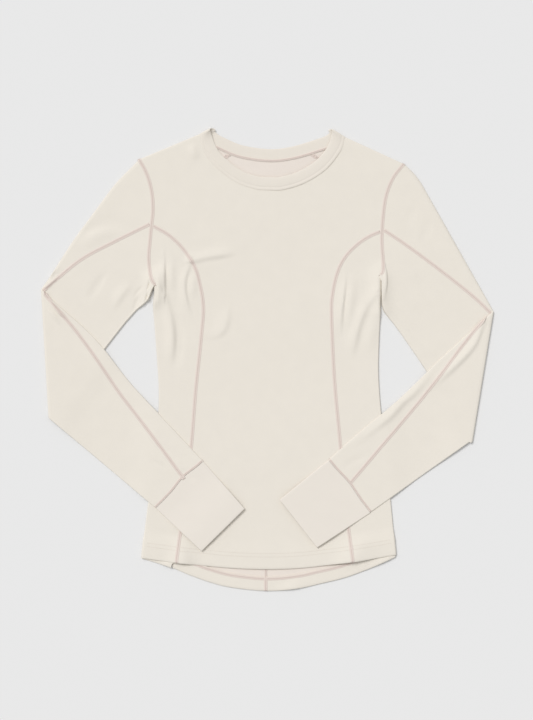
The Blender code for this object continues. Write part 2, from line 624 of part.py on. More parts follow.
def build_sleeve(side):
    arm = Arm(side)
    inwards = 1 if side == "right" else -1
    cap = [arm.flat(p) for p in shifted(CURVES["armhole_" + side], -SEAM_GAP / 2 * inwards)]
    shoulder_out = CURVES["shoulder_out_" + side]
    cap_out = Vector((shoulder_out.dot(arm.along), shoulder_out.dot(arm.across)))
    cap_under = (cap[-1] - cap[-2]).normalized()
    cap[-1] = cap[-1] - cap_under * EDGE_BULGE
    edges = (Vector((0.0, -1.0)), Vector((0.0, 1.0)))
    bend = [place - cap[0].lerp(cap[-1], k / ACROSS) for k, place in enumerate(cap)]
    rings = [tube_ring(arm, cap, cap_out, cap_under, FLAT_STEP)]
    last_outer = arm.along_at(0.0, EDGE_BULGE)
    last_under = arm.along_at(0.0, ELBOW_WIDTH - EDGE_BULGE)
    for part in UPPER_ARM_RINGS:
        outer = cap[0].lerp(Vector((last_outer, EDGE_BULGE)), part)
        rounding = max(0.0, 1 - (outer.x - cap[0].x) / CORNER_REACH) ** 2
        outer.y = EDGE_BULGE + (cap[0].y - EDGE_BULGE) * rounding
        under_along = cap[-1].x + (last_under - cap[-1].x) * part
        under = Vector((under_along, sleeve_width(under_along) - EDGE_BULGE))
        fade = (1 - part) ** CAP_FADE
        places = [outer.lerp(under, k / ACROSS) + bend[k] * fade for k in range(ACROSS + 1)]
        rings.append(tube_ring(arm, places, *edges, FLAT_STEP))
    for r in range(1, TURN_STEPS + 1):
        distance = math.pi * ELBOW_RADIUS * r / TURN_STEPS
        places = straight_places(arm.along_at(distance, EDGE_BULGE),
                                 arm.along_at(distance, ELBOW_WIDTH - EDGE_BULGE), ELBOW_WIDTH)
        rings.append(tube_ring(arm, places, *edges, FLAT_STEP))
    elbow_outer, elbow_under = places[0].x, places[-1].x
    seam_outer = arm.pose.length - SEAM_GAP / 2
    seam_under = seam_outer + arm.pose.seam_slant
    for r in range(1, FOREARM_RINGS + 1):
        part = r / FOREARM_RINGS
        under_along = elbow_under + (seam_under - elbow_under) * part
        places = straight_places(elbow_outer + (seam_outer - elbow_outer) * part,
                                 under_along, sleeve_width(under_along))
        rings.append(tube_ring(arm, places, *edges, FLAT_STEP))
    points = [p for ring in rings for p in ring]
    cloth_solid("sleeve_" + side, points, grid_faces(rings, closed=True), KNIT_WALL, CLOTH_COLOUR)


def build_cuff(side):
    arm = Arm(side)
    seam_width = sleeve_width(arm.pose.length)
    rings = []
    for r in range(CUFF_RINGS + 1):
        part = r / CUFF_RINGS
        outer = arm.pose.length + SEAM_GAP / 2 + CUFF_LENGTH * part
        width = seam_width + (CUFF_END_WIDTH - seam_width) * part
        places = straight_places(outer, outer + arm.pose.seam_slant, width, arm.pose.cuff_sway * part)
        rings.append(tube_ring(arm, places, Vector((0.0, -1.0)), Vector((0.0, 1.0)), CUFF_STEP))
    points = [p for ring in rings for p in ring]
    cloth_solid("cuff_" + side, points, grid_faces(rings, closed=True), CUFF_WALL, CUFF_COLOUR)


# ---- collar: one band, rolled over at both shoulders -----------------------------------------
def collar_half(curve, level):
    """Rows of points from the seam to the free edge, along one half of the collar."""
    run = [0.0]
    for a, b in zip(curve, curve[1:]):
        run.append(run[-1] + (b - a).length)
    rows = []
    for k, (p, t) in enumerate(zip(curve, tangents(curve))):
        facing = Vector((-t.y, t.x))
        edge = p + facing * COLLAR_BAND
        for side, distance, end in (("right", run[k], curve[0]), ("left", run[-1] - run[k], curve[-1])):
            part = max(0.0, 1 - distance / COLLAR_BLEND)
            apex = Vector(NECK_APEX[side]) - CURVES["shoulder_out_" + side] * EDGE_BULGE
            edge = edge.lerp(p + (apex - end), part * part * (3 - 2 * part))
        at_an_end = k in (0, len(curve) - 1)
        seam = p + ((edge - p).normalized() if at_an_end else facing) * (SEAM_GAP / 2)
        rows.append([Vector((q.x, q.y, level)) for q in (seam, seam.lerp(edge, 1 / 2), edge)])
    return rows


def collar_turn(row, side, falling):
    """The rows that take the band round a shoulder fold."""
    result = []
    for k in range(1, TURN_STEPS):
        angle = math.pi * (k if falling else TURN_STEPS - k) / TURN_STEPS
        reach = CURVES["shoulder_out_" + side] * (FOLD_STEP / 2 * math.sin(angle))
        z = COLLAR_WALL / 2 + FOLD_STEP / 2 * (1 + math.cos(angle))
        result.append([Vector((p.x + reach.x, p.y + reach.y, z)) for p in row])
    return result


def build_collar():
    front = collar_half(CURVES["neck_front"], COLLAR_WALL / 2 + FOLD_STEP)
    back = collar_half(CURVES["neck_back"], COLLAR_WALL / 2)
    rows = (front + collar_turn(front[-1], "left", True) + back[::-1]
            + collar_turn(front[0], "right", False))
    points = [p for row in rows for p in row]
    faces = [[i % len(points) for i in face] for face in grid_faces(rows + [rows[0]])]
    cloth_solid("collar", points, faces, COLLAR_WALL, COLLAR_COLOUR)


# ---- assembly --------------------------------------------------------------------------------
for old in list(bpy.data.objects):
    bpy.data.objects.remove(old, do_unlink=True)

build_front()
build_back()
build_collar()
for side_name in SIDES:
    build_side(side_name)
    build_sleeve(side_name)
    build_cuff(side_name)
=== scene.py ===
"""The looks of a thermal base layer top, laid flat face up with both sleeves folded over.

Sizes are in millimetres and are turned to metres when a mesh is made. Right and left are the wearer's.
Outlines and seams are lists of (x, y) places on the table, drawn as smooth curves through them.
"""

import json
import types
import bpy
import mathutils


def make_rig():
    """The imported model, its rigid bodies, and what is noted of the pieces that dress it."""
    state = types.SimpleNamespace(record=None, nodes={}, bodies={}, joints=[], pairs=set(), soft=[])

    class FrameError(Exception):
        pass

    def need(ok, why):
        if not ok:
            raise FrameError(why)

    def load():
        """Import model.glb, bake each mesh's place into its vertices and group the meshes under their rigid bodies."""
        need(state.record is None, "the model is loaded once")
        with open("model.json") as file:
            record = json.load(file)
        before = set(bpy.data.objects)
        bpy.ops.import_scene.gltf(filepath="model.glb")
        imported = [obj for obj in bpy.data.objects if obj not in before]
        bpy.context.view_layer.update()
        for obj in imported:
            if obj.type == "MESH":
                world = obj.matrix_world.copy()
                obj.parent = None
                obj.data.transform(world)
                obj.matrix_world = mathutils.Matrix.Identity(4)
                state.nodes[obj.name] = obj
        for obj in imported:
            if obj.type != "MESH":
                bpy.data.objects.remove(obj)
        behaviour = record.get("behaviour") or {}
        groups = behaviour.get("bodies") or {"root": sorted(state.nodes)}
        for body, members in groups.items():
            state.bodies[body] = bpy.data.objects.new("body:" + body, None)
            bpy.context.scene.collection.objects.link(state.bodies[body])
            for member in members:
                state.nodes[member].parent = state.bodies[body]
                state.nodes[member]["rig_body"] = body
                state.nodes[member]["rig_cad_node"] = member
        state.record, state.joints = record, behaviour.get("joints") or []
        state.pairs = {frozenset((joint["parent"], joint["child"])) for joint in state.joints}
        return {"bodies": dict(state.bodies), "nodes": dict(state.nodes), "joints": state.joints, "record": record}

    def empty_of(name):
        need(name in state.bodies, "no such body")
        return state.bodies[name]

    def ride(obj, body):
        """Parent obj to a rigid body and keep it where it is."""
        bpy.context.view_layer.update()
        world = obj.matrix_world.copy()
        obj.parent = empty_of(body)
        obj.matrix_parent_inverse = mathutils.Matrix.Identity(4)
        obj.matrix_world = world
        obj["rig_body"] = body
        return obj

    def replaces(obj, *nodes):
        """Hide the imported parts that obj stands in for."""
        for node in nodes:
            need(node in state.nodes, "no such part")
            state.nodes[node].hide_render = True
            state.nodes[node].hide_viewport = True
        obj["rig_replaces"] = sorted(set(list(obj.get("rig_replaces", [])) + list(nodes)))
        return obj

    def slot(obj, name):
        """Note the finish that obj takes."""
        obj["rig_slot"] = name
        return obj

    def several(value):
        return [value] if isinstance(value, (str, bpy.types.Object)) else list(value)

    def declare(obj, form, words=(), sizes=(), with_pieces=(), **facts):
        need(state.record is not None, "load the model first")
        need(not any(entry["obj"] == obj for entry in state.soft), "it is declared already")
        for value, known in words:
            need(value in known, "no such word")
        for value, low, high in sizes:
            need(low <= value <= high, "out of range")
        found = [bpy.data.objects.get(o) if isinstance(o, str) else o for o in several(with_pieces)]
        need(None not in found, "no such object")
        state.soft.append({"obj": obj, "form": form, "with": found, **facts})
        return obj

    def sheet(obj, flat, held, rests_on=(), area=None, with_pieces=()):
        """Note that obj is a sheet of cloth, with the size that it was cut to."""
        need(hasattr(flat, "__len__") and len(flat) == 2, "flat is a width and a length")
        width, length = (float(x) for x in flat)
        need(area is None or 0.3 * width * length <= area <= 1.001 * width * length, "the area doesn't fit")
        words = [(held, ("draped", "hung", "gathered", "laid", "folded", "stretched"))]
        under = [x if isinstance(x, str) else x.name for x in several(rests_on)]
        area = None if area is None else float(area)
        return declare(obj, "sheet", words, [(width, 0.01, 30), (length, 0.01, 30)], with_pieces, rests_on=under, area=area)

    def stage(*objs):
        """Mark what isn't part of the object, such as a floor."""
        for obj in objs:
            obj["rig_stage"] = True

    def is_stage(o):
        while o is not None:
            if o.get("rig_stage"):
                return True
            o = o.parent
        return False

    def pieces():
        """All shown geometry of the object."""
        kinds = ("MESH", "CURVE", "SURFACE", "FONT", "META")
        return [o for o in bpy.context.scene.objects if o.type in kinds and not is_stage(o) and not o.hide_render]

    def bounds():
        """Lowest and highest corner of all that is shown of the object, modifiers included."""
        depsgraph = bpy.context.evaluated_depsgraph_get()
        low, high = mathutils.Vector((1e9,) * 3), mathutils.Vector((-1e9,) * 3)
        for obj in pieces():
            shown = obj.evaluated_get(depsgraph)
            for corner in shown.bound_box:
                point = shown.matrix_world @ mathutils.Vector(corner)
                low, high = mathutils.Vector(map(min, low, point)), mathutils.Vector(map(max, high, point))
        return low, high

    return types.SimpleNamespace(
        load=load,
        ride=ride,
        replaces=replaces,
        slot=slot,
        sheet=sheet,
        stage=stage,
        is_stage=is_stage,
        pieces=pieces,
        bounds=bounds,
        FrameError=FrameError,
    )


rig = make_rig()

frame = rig.load()

import json
import math
from collections import namedtuple

import bpy
import numpy as np
from mathutils import Vector
from mathutils.geometry import delaunay_2d_cdt
from mathutils.kdtree import KDTree

cad_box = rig.bounds()
MM = 0.001
SIDES = ("right", "left")
INWARDS = {"right": 1, "left": -1}        # sign of the way from that side towards the middle


# ==== Back: a yoke and two lower halves =======================================================
# Three panels of fine waffle knit lie on the table with their inside up, where it shows through
# the neck and below the front hem. The lower edge is turned up inside and cover-stitched.
KNIT = 1.1              # one layer of the knit
BACK_Z = 0.9            # middle of the back cloth; the seams under it stand out to the table
SEAM_GAP = 0.2          # a panel's cut edge stays this far from the line of its seam
TURN_UP = 19.0          # finished depth of the hems
HEM_STEP = 1.25         # the turned-up layer lies this far inside the outer one
YOKE_SEAM_Y = 208.0
CENTRE_BACK_X = -2.5
SHOULDER_DROP = {"neck": 41.5, "arm": 31.0}       # from the shoulder fold back to the shoulder seam
ARMHOLE = {
    "right": [(-181.6, 284.3), (-171.5, 265.0), (-164.4, 239.5), (-162.6, 213.5), (-164.7, 192.4),
              (-166.9, 170.0), (-168.7, 145.5), (-166.4, 124.0), (-162.4, 111.5), (-157.8, 107.0)],
    "left": [(192.6, 278.0), (178.6, 259.7), (169.3, 237.4), (165.0, 213.7), (162.6, 184.0),
             (162.3, 166.8), (164.0, 142.7), (164.2, 130.0), (162.6, 123.0), (158.8, 121.5)],
}
NECK_POINT = {"right": (-95.4, 320.4), "left": (109.6, 316.0)}
NECK_BACK = [NECK_POINT["right"], (-86.8, 309.5), (-70.0, 300.0), (-39.0, 287.6), (3.5, 281.9),
             (39.0, 286.0), (74.5, 296.5), (98.5, 305.5), NECK_POINT["left"]]
BACK_SEAM = {
    "right": [(-164.9, 190.0), (-147.0, 173.0), (-130.0, 148.0), (-119.0, 112.0), (-114.5, 60.0),
              (-117.0, 0.0), (-121.5, -70.0), (-127.0, -150.0), (-129.6, -262.0), (-132.4, -284.0),
              (-142.5, -297.0)],
    "left": [(162.9, 186.0), (146.0, 171.0), (129.0, 147.0), (118.5, 112.0), (114.5, 60.0),
             (117.5, 0.0), (122.0, -70.0), (127.0, -150.0), (137.5, -300.0)],
}
BACK_HEM = [(-182.0, -279.0), (-138.4, -292.5), (-110.0, -304.0), (-81.6, -314.0), (-50.4, -321.6),
            (0.0, -326.4), (43.3, -322.8), (74.5, -316.2), (111.5, -307.0), (148.4, -293.0), (187.0, -275.5)]
Ripple = namedtuple("Ripple", "x width height")
BACK_RIPPLES = [Ripple(36.0, 15.0, 2.2), Ripple(166.0, 18.0, 2.0)]       # where its hem stands up
BACK_RIPPLE_REACH = 22.0      # above the hem
LEFT_HEM_SHIFT = 1.2          # the left half's turn-up ends this far past the panel seam


def curve(points, step=2.5):
    """A smooth curve through a few points, as places about a step apart."""
    knots = np.array(points, float)
    knots = np.vstack([2 * knots[0] - knots[1], knots, 2 * knots[-1] - knots[-2]])
    runs = []
    for before, start, end, after in zip(knots, knots[1:], knots[2:], knots[3:]):
        count = max(1, round(np.linalg.norm(end - start) / step))
        t = np.linspace(0, 1, count, endpoint=False)[:, None]
        runs.append(0.5 * (2 * start + (end - before) * t
                           + (2 * before - 5 * start + 4 * end - after) * t ** 2
                           + (3 * start - before - 3 * end + after) * t ** 3))
    return np.vstack(runs + [knots[-2:-1]])


def unit(rows):
    """Directions made one long."""
    return rows / np.linalg.norm(rows, axis=-1, keepdims=True)


def lengths(path):
    """How far along a path each of its places is."""
    return np.concatenate([[0.0], np.cumsum(np.linalg.norm(np.diff(path, axis=0), axis=1))])


def at_lengths(want, run, rows):
    """What a path's rows are at the wanted lengths, where run is the length at each row."""
    return np.stack([np.interp(want, run, column) for column in rows.T], axis=1)


def evenly(path, step=None, count=None):
    """The same path with its places evenly apart."""
    run = lengths(path)
    count = count or max(1, round(run[-1] / step))
    return at_lengths(np.linspace(0, run[-1], count + 1), run, path)


def ways(path, closed=False):
    """The unit direction along a path at each of its places."""
    if closed:
        return unit(np.roll(path, -1, axis=0) - np.roll(path, 1, axis=0))
    return unit(np.vstack([path[1:], path[-1:]]) - np.vstack([path[:1], path[:-1]]))


def to_left(way):
    """Directions on the table turned a quarter to the left."""
    return np.stack([-way[:, 1], way[:, 0]], axis=1)


def left_of(path):
    return to_left(ways(path))


def y_at(path, x):
    """How high up the table a path that runs across is at x."""
    return np.interp(x, path[:, 0], path[:, 1])


def x_at(path, y):
    """Where a path that runs down is at y."""
    return np.interp(-y, -path[:, 1], path[:, 0])


def down_to(path, hem):
    """A seam that runs down, cut off where it meets the hem."""
    kept = path[path[:, 1] > y_at(hem, path[:, 0]) + 1]
    return np.vstack([kept, [kept[-1, 0], y_at(hem, kept[-1, 0])]])


def area_in(outline):
    """The area inside a closed outline, negative if it runs clockwise."""
    x, y = outline.T
    return np.sum(x * np.roll(y, -1) - y * np.roll(x, -1)) / 2


def cut_ring(outline, step):
    """The edge of a panel: its closed outline as even places, anticlockwise, moved inwards by the gap."""
    ring = evenly(np.vstack([outline, outline[:1]]), step=step)[:-1]
    if area_in(outline) < 0:
        ring = ring[::-1]
    before = unit(ring - np.roll(ring, 1, axis=0))
    after = unit(np.roll(ring, -1, axis=0) - ring)
    inwards = to_left(unit(before + after))
    spread = np.maximum(0.4, -before[:, 1] * inwards[:, 0] + before[:, 0] * inwards[:, 1])
    return ring + inwards * (SEAM_GAP / spread)[:, None]


def filled(ring, grid):
    """Places and triangles that fill a closed outline; the outline's own places come first."""
    low, high = ring.min(axis=0), ring.max(axis=0)
    rows = np.arange(low[1] + grid / 2, high[1], grid * math.sqrt(3) / 2)
    columns = np.arange(low[0], high[0] + grid, grid)
    inner = np.array([[x + grid / 2 * (r % 2), y] for r, y in enumerate(rows) for x in columns])
    crossings = np.zeros(len(inner), int)
    for a, b in zip(ring, np.roll(ring, -1, axis=0)):
        if a[1] != b[1]:
            spans = (a[1] > inner[:, 1]) != (b[1] > inner[:, 1])
            crossings += spans & (inner[:, 0] < a[0] + (b[0] - a[0]) * (inner[:, 1] - a[1]) / (b[1] - a[1]))
    edge = KDTree(len(ring))
    for i, (x, y) in enumerate(ring):
        edge.insert((x, y, 0), i)
    edge.balance()
    inner = [p for p in inner[crossings % 2 == 1] if edge.find((p[0], p[1], 0))[2] > 0.7 * grid]
    outline, inside_only = [list(range(len(ring)))], 1
    verts, _, faces, sources, _, _ = delaunay_2d_cdt(
        [Vector(p) for p in ring] + [Vector(p) for p in inner], [], outline, inside_only, 1e-5)
    order = [group[0] for group in sources]
    place = np.zeros((len(verts), 2))
    place[order] = [tuple(v) for v in verts]
    return place, [[order[i] for i in f] for f in faces]


class Cloth:
    """The middle of a sheet of cloth while it is being drawn: places, faces and places on its cut.

    around is the cut's length round a closed tube, at each place, or 0 where the sheet is open.
    """

    def __init__(self, plan=None, height=None, faces=()):
        self.points = np.zeros((0, 3))
        self.cut = np.zeros((0, 2))
        self.around = np.zeros(0)
        self.faces = list(faces)
        if plan is not None:
            self.add(np.column_stack([plan, height(plan)]), plan)

    def add(self, points, cut, around=0.0):
        """Adds places and returns their numbers."""
        first = len(self.points)
        self.points = np.vstack([self.points, points])
        self.cut = np.vstack([self.cut, cut])
        self.around = np.append(self.around, np.full(len(points), around))
        return np.arange(first, first + len(points))

    def join(self, rows, flip=False, closed=False):
        """Quads from each row of places to the next."""
        for row, after in zip(rows, rows[1:]):
            if closed:
                row, after = np.append(row, row[0]), np.append(after, after[0])
            quads = np.stack([row[:-1], row[1:], after[1:], after[:-1]], axis=1)
            self.faces += (quads[:, ::-1] if flip else quads).tolist()

    def corners(self):
        """Places on the cut for each corner of each face in turn, and where each face's corners start."""
        numbers = np.concatenate(self.faces)
        counts = [len(face) for face in self.faces]
        starts = np.cumsum([0] + counts[:-1])
        places, around = self.cut[numbers], self.around[numbers]
        highest = np.maximum.reduceat(places[:, 0], starts).repeat(counts)
        places[:, 0] += np.where(highest - places[:, 0] > around / 2, around, 0)
        return places, starts

    def cut_size(self):
        """The cut's (width, length) and its area, in metres."""
        wide, long = np.ptp(self.cut, axis=0)
        places, starts = self.corners()
        area = sum(abs(area_in(face)) for face in np.split(places, starts[1:]))
        return {"flat": ((self.around.max() or wide) * MM, long * MM), "area": area * MM * MM}

    def normals(self):
        """The way the cloth faces at each place."""
        total = np.zeros_like(self.points)
        for face in self.faces:
            corners = self.points[face]
            total[face] += np.cross(corners[1] - corners[0], corners[-1] - corners[0])
        return total / np.maximum(1e-12, np.linalg.norm(total, axis=1))[:, None]


def new_piece(name, points, faces, materials, corners=None, slot="body_knit"):
    """An object of places in millimetres, with its faces' corners on the cut as its map."""
    mesh = bpy.data.meshes.new(name)
    mesh.from_pydata((points * MM).tolist(), [], faces)
    mesh.update()
    if corners is not None:
        mesh.uv_layers.new(name="cut").data.foreach_set("uv", (corners * MM).ravel())
    for material in materials:
        mesh.materials.append(material)
    mesh.shade_smooth()
    piece = bpy.data.objects.new(name, mesh)
    bpy.context.scene.collection.objects.link(piece)
    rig.ride(piece, "root")
    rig.slot(piece, slot)
    return piece


def sew(node, cloth, materials, slot="body_knit", wall=KNIT, **sheet):
    """Gives a sheet its thickness and puts it in the place of its node. The last material is the inside's."""
    piece = new_piece(node + "_cloth", cloth.points, cloth.faces, materials, cloth.corners()[0], slot)
    thicken = piece.modifiers.new("wall", "SOLIDIFY")
    thicken.thickness = wall * MM
    thicken.offset = 0
    thicken.use_even_offset = False
    thicken.material_offset = thicken.material_offset_rim = len(materials) - 1
    bpy.ops.object.select_all(action="DESELECT")
    piece.select_set(True)
    bpy.context.view_layer.objects.active = piece
    bpy.ops.object.modifier_apply(modifier=thicken.name)
    piece.data.set_sharp_from_angle(angle=math.radians(55))
    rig.replaces(piece, node)
    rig.sheet(piece, **sheet, **cloth.cut_size())


def wire(tree, node, inputs):
    """Sets a node's inputs: a number or colour is put in, another node or its socket is linked."""
    for name, value in inputs.items():
        if isinstance(value, bpy.types.Node):
            value = value.outputs[0]
        if isinstance(value, bpy.types.NodeSocket):
            tree.links.new(value, node.inputs[name])
        else:
            node.inputs[name].default_value = value
    return node


def add_node(tree, kind, inputs, **settings):
    node = tree.nodes.new("ShaderNode" + kind)
    for name, value in settings.items():
        setattr(node, name, value)
    return wire(tree, node, inputs)


def make_knit_group():
    """Fine waffle: small raised cells in rows and columns, a little uneven, with soft mottling and painted shade in
    the grooves.
    """
    group = bpy.data.node_groups.new("waffle_knit", "ShaderNodeTree")
    for name, way, kind in (("Vector", "INPUT", "Vector"), ("Cell", "INPUT", "Float"),
                            ("Mottle", "INPUT", "Float"), ("Height", "OUTPUT", "Float"),
                            ("Shade", "OUTPUT", "Float")):
        group.interface.new_socket(name, in_out=way, socket_type="NodeSocket" + kind)
    start = group.nodes.new("NodeGroupInput").outputs
    end = group.nodes.new("NodeGroupOutput")

    def maths(operation, *values):
        return add_node(group, "Math", dict(enumerate(values)), operation=operation)

    def ribs(place):
        cells = maths("DIVIDE", maths("ADD", place, drift), start["Cell"])
        return maths("ABSOLUTE", maths("SINE", maths("MULTIPLY", cells, math.pi)))

    wander = add_node(group, "TexNoise", {"Vector": start["Vector"], "Scale": 260.0, "Detail": 1.0})
    drift = maths("MULTIPLY", maths("SUBTRACT", wander, 0.5), 0.0007)
    split = add_node(group, "SeparateXYZ", {0: start["Vector"]}).outputs
    cell = maths("POWER", maths("MULTIPLY", ribs(split[0]), ribs(split[1])), 0.6)
    blotch = add_node(group, "TexNoise", {"Vector": start["Vector"], "Scale": 45.0, "Detail": 3.0})
    tone = maths("MULTIPLY", maths("SUBTRACT", blotch, 0.5), start["Mottle"])
    # painted shade: the colour is darker in the grooves between the raised cells
    knit_groove_shade = maths("MULTIPLY", maths("SUBTRACT", cell, 0.6), 0.06)
    wire(group, end, {"Height": cell, "Shade": maths("ADD", maths("ADD", tone, knit_groove_shade), 1.0)})
    return group


WAFFLE = make_knit_group()


def new_material(name, **inputs):
    material = bpy.data.materials.new(name)
    material.use_nodes = True
    shader = material.node_tree.nodes["Principled BSDF"]
    wire(material.node_tree, shader, {key.replace("_", " "): value for key, value in inputs.items()})
    return material, material.node_tree, shader


def knit_material(name, colour, cell=0.0013, relief=0.00025, mottle=0.04):
    """Matt knit with a faint fuzz; its pattern lies on the cut's own map."""
    material, tree, shader = new_material(name, Roughness=0.92, Specular_IOR_Level=0.25, Sheen_Weight=0.12,
                                          Sheen_Roughness=0.6)
    where = add_node(tree, "UVMap", {}, uv_map="cut")
    knit = add_node(tree, "Group", {}, node_tree=WAFFLE)
    wire(tree, knit, {"Vector": where, "Cell": cell, "Mottle": mottle})
    # the base colour takes the random mottling and the painted shade in the knit's grooves
    tint = add_node(tree, "VectorMath", {0: colour, "Scale": knit.outputs["Shade"]}, operation="SCALE")
    bump = add_node(tree, "Bump", {"Strength": 0.6, "Distance": relief, "Height": knit.outputs["Height"]})
    wire(tree, shader, {"Base Color": tint, "Normal": bump})
    return material


KNIT_OUTSIDE = knit_material("knit_outside", (0.822, 0.772, 0.692))
KNIT_INSIDE = knit_material("knit_inside", (0.825, 0.752, 0.686))

armhole = {side: curve(ARMHOLE[side]) for side in SIDES}
back_hem = curve(BACK_HEM)
neck_back = curve(NECK_BACK)
SHOULDER_OUT = {}       # plan direction in which each shoulder's fold stands out
for side in SIDES:
    along = NECK_POINT[side] - armhole[side][0]
    SHOULDER_OUT[side] = unit(np.array([-along[1], along[0]]) * INWARDS[side])


def behind_shoulder(path, side):
    """How far each place of a path lies behind the shoulder fold it starts from."""
    return (NECK_POINT[side] - path) @ SHOULDER_OUT[side]


def smooth(part):
    part = np.clip(part, 0.0, 1.0)
    return part * part * (3 - 2 * part)


def above_hem(plan, hem):
    return plan[:, 1] - y_at(hem, plan[:, 0])


def between(path, low, high):
    """The places of a path that runs across, from one x to another."""
    return path[(path[:, 0] > low) & (path[:, 0] < high)]


def rippled(plan, ripples):
    return sum(ripple.height * np.exp(-((plan[:, 0] - ripple.x) / ripple.width) ** 2) for ripple in ripples)


def back_level(plan):
    """Height of the middle of the back cloth: flat on the table but for two places of its hem."""
    near_hem = smooth((BACK_RIPPLE_REACH - above_hem(plan, back_hem)) / BACK_RIPPLE_REACH)
    return BACK_Z + rippled(plan, BACK_RIPPLES) * near_hem ** 2


def ring_run(ring, ends):
    """The numbers of a ring's places from the one nearest the first end to the one nearest the last."""
    first, last = (int(np.argmin(np.linalg.norm(ring - end, axis=1))) for end in ends)
    return np.arange(first, last + 1) if first <= last else np.r_[first:len(ring), 0:last + 1]


def add_turn_up(cloth, hem, into, height, step):
    """Turns a hem up inside: a narrow fold, then a second layer that lies a step inside the first."""
    rows = [hem]
    edge, cut = cloth.points[hem], cloth.cut[hem]
    for turn in np.radians((45, 90, 135)):
        rise = np.full((len(hem), 1), step / 2 * (1 - math.cos(turn)))
        rows.append(cloth.add(edge + np.hstack([-into * abs(step) / 2 * math.sin(turn), rise]), cut))
    for depth in TURN_UP * np.linspace(0, 1, 8):
        plan = edge[:, :2] + into * depth
        rows.append(cloth.add(np.column_stack([plan, height(plan) + step]), cut - into * depth))
    cloth.join(rows, flip=True)
    return rows


def back_panel(outline, hem_ends=None, end_shift=0.0):
    """One flat back panel. hem_ends gives the two plan places between which its hem is turned up, and
    end_shift how far sideways the turn-up's last end lies."""
    ring = cut_ring(outline, 4.0)
    plan, faces = filled(ring, 5.0)
    cloth = Cloth(plan, back_level, faces)
    if hem_ends is not None:
        run = ring_run(ring, hem_ends)
        into = left_of(plan[run])
        into[0] = into[-1] = (0.0, 1.0)
        for row in add_turn_up(cloth, run, into, back_level, HEM_STEP)[1:]:
            cloth.points[row[-1], 0] += end_shift
    return cloth


arm_down = {side: armhole[side][behind_shoulder(armhole[side], side) >= SHOULDER_DROP["arm"]]
            for side in SIDES}
neck_rest = neck_back[np.all([behind_shoulder(neck_back, side) >= SHOULDER_DROP["neck"] for side in SIDES],
                             axis=0)]
yoke_end = {side: np.array([x_at(armhole[side], YOKE_SEAM_Y), YOKE_SEAM_Y]) for side in SIDES}
above = {side: arm_down[side][arm_down[side][:, 1] > YOKE_SEAM_Y + 1] for side in SIDES}
centre_seam = np.array([[CENTRE_BACK_X, YOKE_SEAM_Y], [CENTRE_BACK_X, y_at(back_hem, CENTRE_BACK_X)]])
back_seam = {}
back_cloth = {"back_yoke": back_panel(np.vstack([yoke_end["right"], yoke_end["left"], above["left"][::-1],
                                                 neck_rest[::-1], above["right"]]))}
for side in SIDES:
    top = BACK_SEAM[side][0][1]
    seam = down_to(curve([(x_at(armhole[side], top), top)] + BACK_SEAM[side][1:]), back_hem)
    below = armhole[side][(armhole[side][:, 1] < YOKE_SEAM_Y - 1) & (armhole[side][:, 1] > seam[0, 1] + 1)]
    low, high = sorted((seam[-1, 0], CENTRE_BACK_X))
    hem_run = between(back_hem, low + 1, high - 1)[::INWARDS[side]]
    back_cloth["back_" + side] = back_panel(
        np.vstack([yoke_end[side], below, seam, hem_run, centre_seam[::-1]]),
        (seam[-1], centre_seam[1])[::INWARDS[side]], LEFT_HEM_SHIFT if side == "left" else 0.0)
    back_seam[side] = seam
for node, cloth in back_cloth.items():
    sew(node, cloth, [KNIT_INSIDE, KNIT_OUTSIDE], held="laid")


# ==== Front: one panel, rolled over both shoulders ============================================
# The same knit, right side up, from the collar seam to the hem and from one curved panel seam to
# the other. It has no shoulder seam on top: it rolls over and is joined on the back.
UPPER_Z = BACK_Z + 1.6        # middle of the upper layer where both lie pressed together
LOOSE = 0.35                  # smoothed out by hand, it lies this much higher than pressed
EDGE_STEP = 1.8               # from layer to layer at a folded edge
LOFT_REACH = 26.0             # the upper layer settles from a folded edge over this distance
CLEAR_STEP = 1.2              # no trough brings the upper layer nearer to the lower one
HEM_LIFT = 0.8                # the turned-up hem carries the layer this much
HEM_LIFT_SIDES = 1.2          # and this much more where the back's hem lies under it too
SIDES_FROM = 95.0             # which is from this far off the middle
SIDES_BLEND = 35.0
HEM_SETTLE = 22.0             # above the turned-up hem it settles over this distance
FRONT_RIPPLES = [Ripple(120.0, 24.0, 5.4), Ripple(-121.0, 15.0, 4.6)]
FRONT_RIPPLE_REACH = 45.0     # above the hem
FLAP_ROWS = 12                # rows of places from a shoulder's fold to its seam
FRONT_SEAM = {
    "right": [(-141.6, 179.0), (-122.5, 161.5), (-106.2, 138.4), (-98.1, 116.6), (-91.2, 78.0),
              (-94.0, 35.0), (-102.3, -45.0), (-107.9, -117.0), (-117.1, -198.0), (-124.6, -250.0),
              (-129.6, -288.5)],
    "left": [(145.5, 176.8), (128.9, 166.0), (112.5, 149.8), (100.5, 128.5), (92.6, 96.0), (90.9, 62.0),
             (95.0, -27.7), (102.5, -111.0), (110.0, -198.0), (121.2, -287.0)],
}
MEETING_Y = {"right": 192.4, "left": 184.0}       # where armhole, panel seam and sleeve seam meet
FRONT_HEM = [(-182.0, -279.0), (-135.6, -285.4), (-95.8, -289.8), (-49.0, -294.0), (0.0, -295.5),
             (46.0, -294.0), (89.0, -289.2), (131.3, -283.4), (187.0, -274.0)]
NECK_FRONT = [NECK_POINT["right"], (-93.4, 306.0), (-88.4, 293.2), (-74.5, 275.6), (-46.1, 253.8),
              (-17.8, 243.7), (3.5, 242.0), (22.0, 242.6), (53.2, 252.5), (83.1, 271.9), (104.4, 299.0),
              NECK_POINT["left"]]
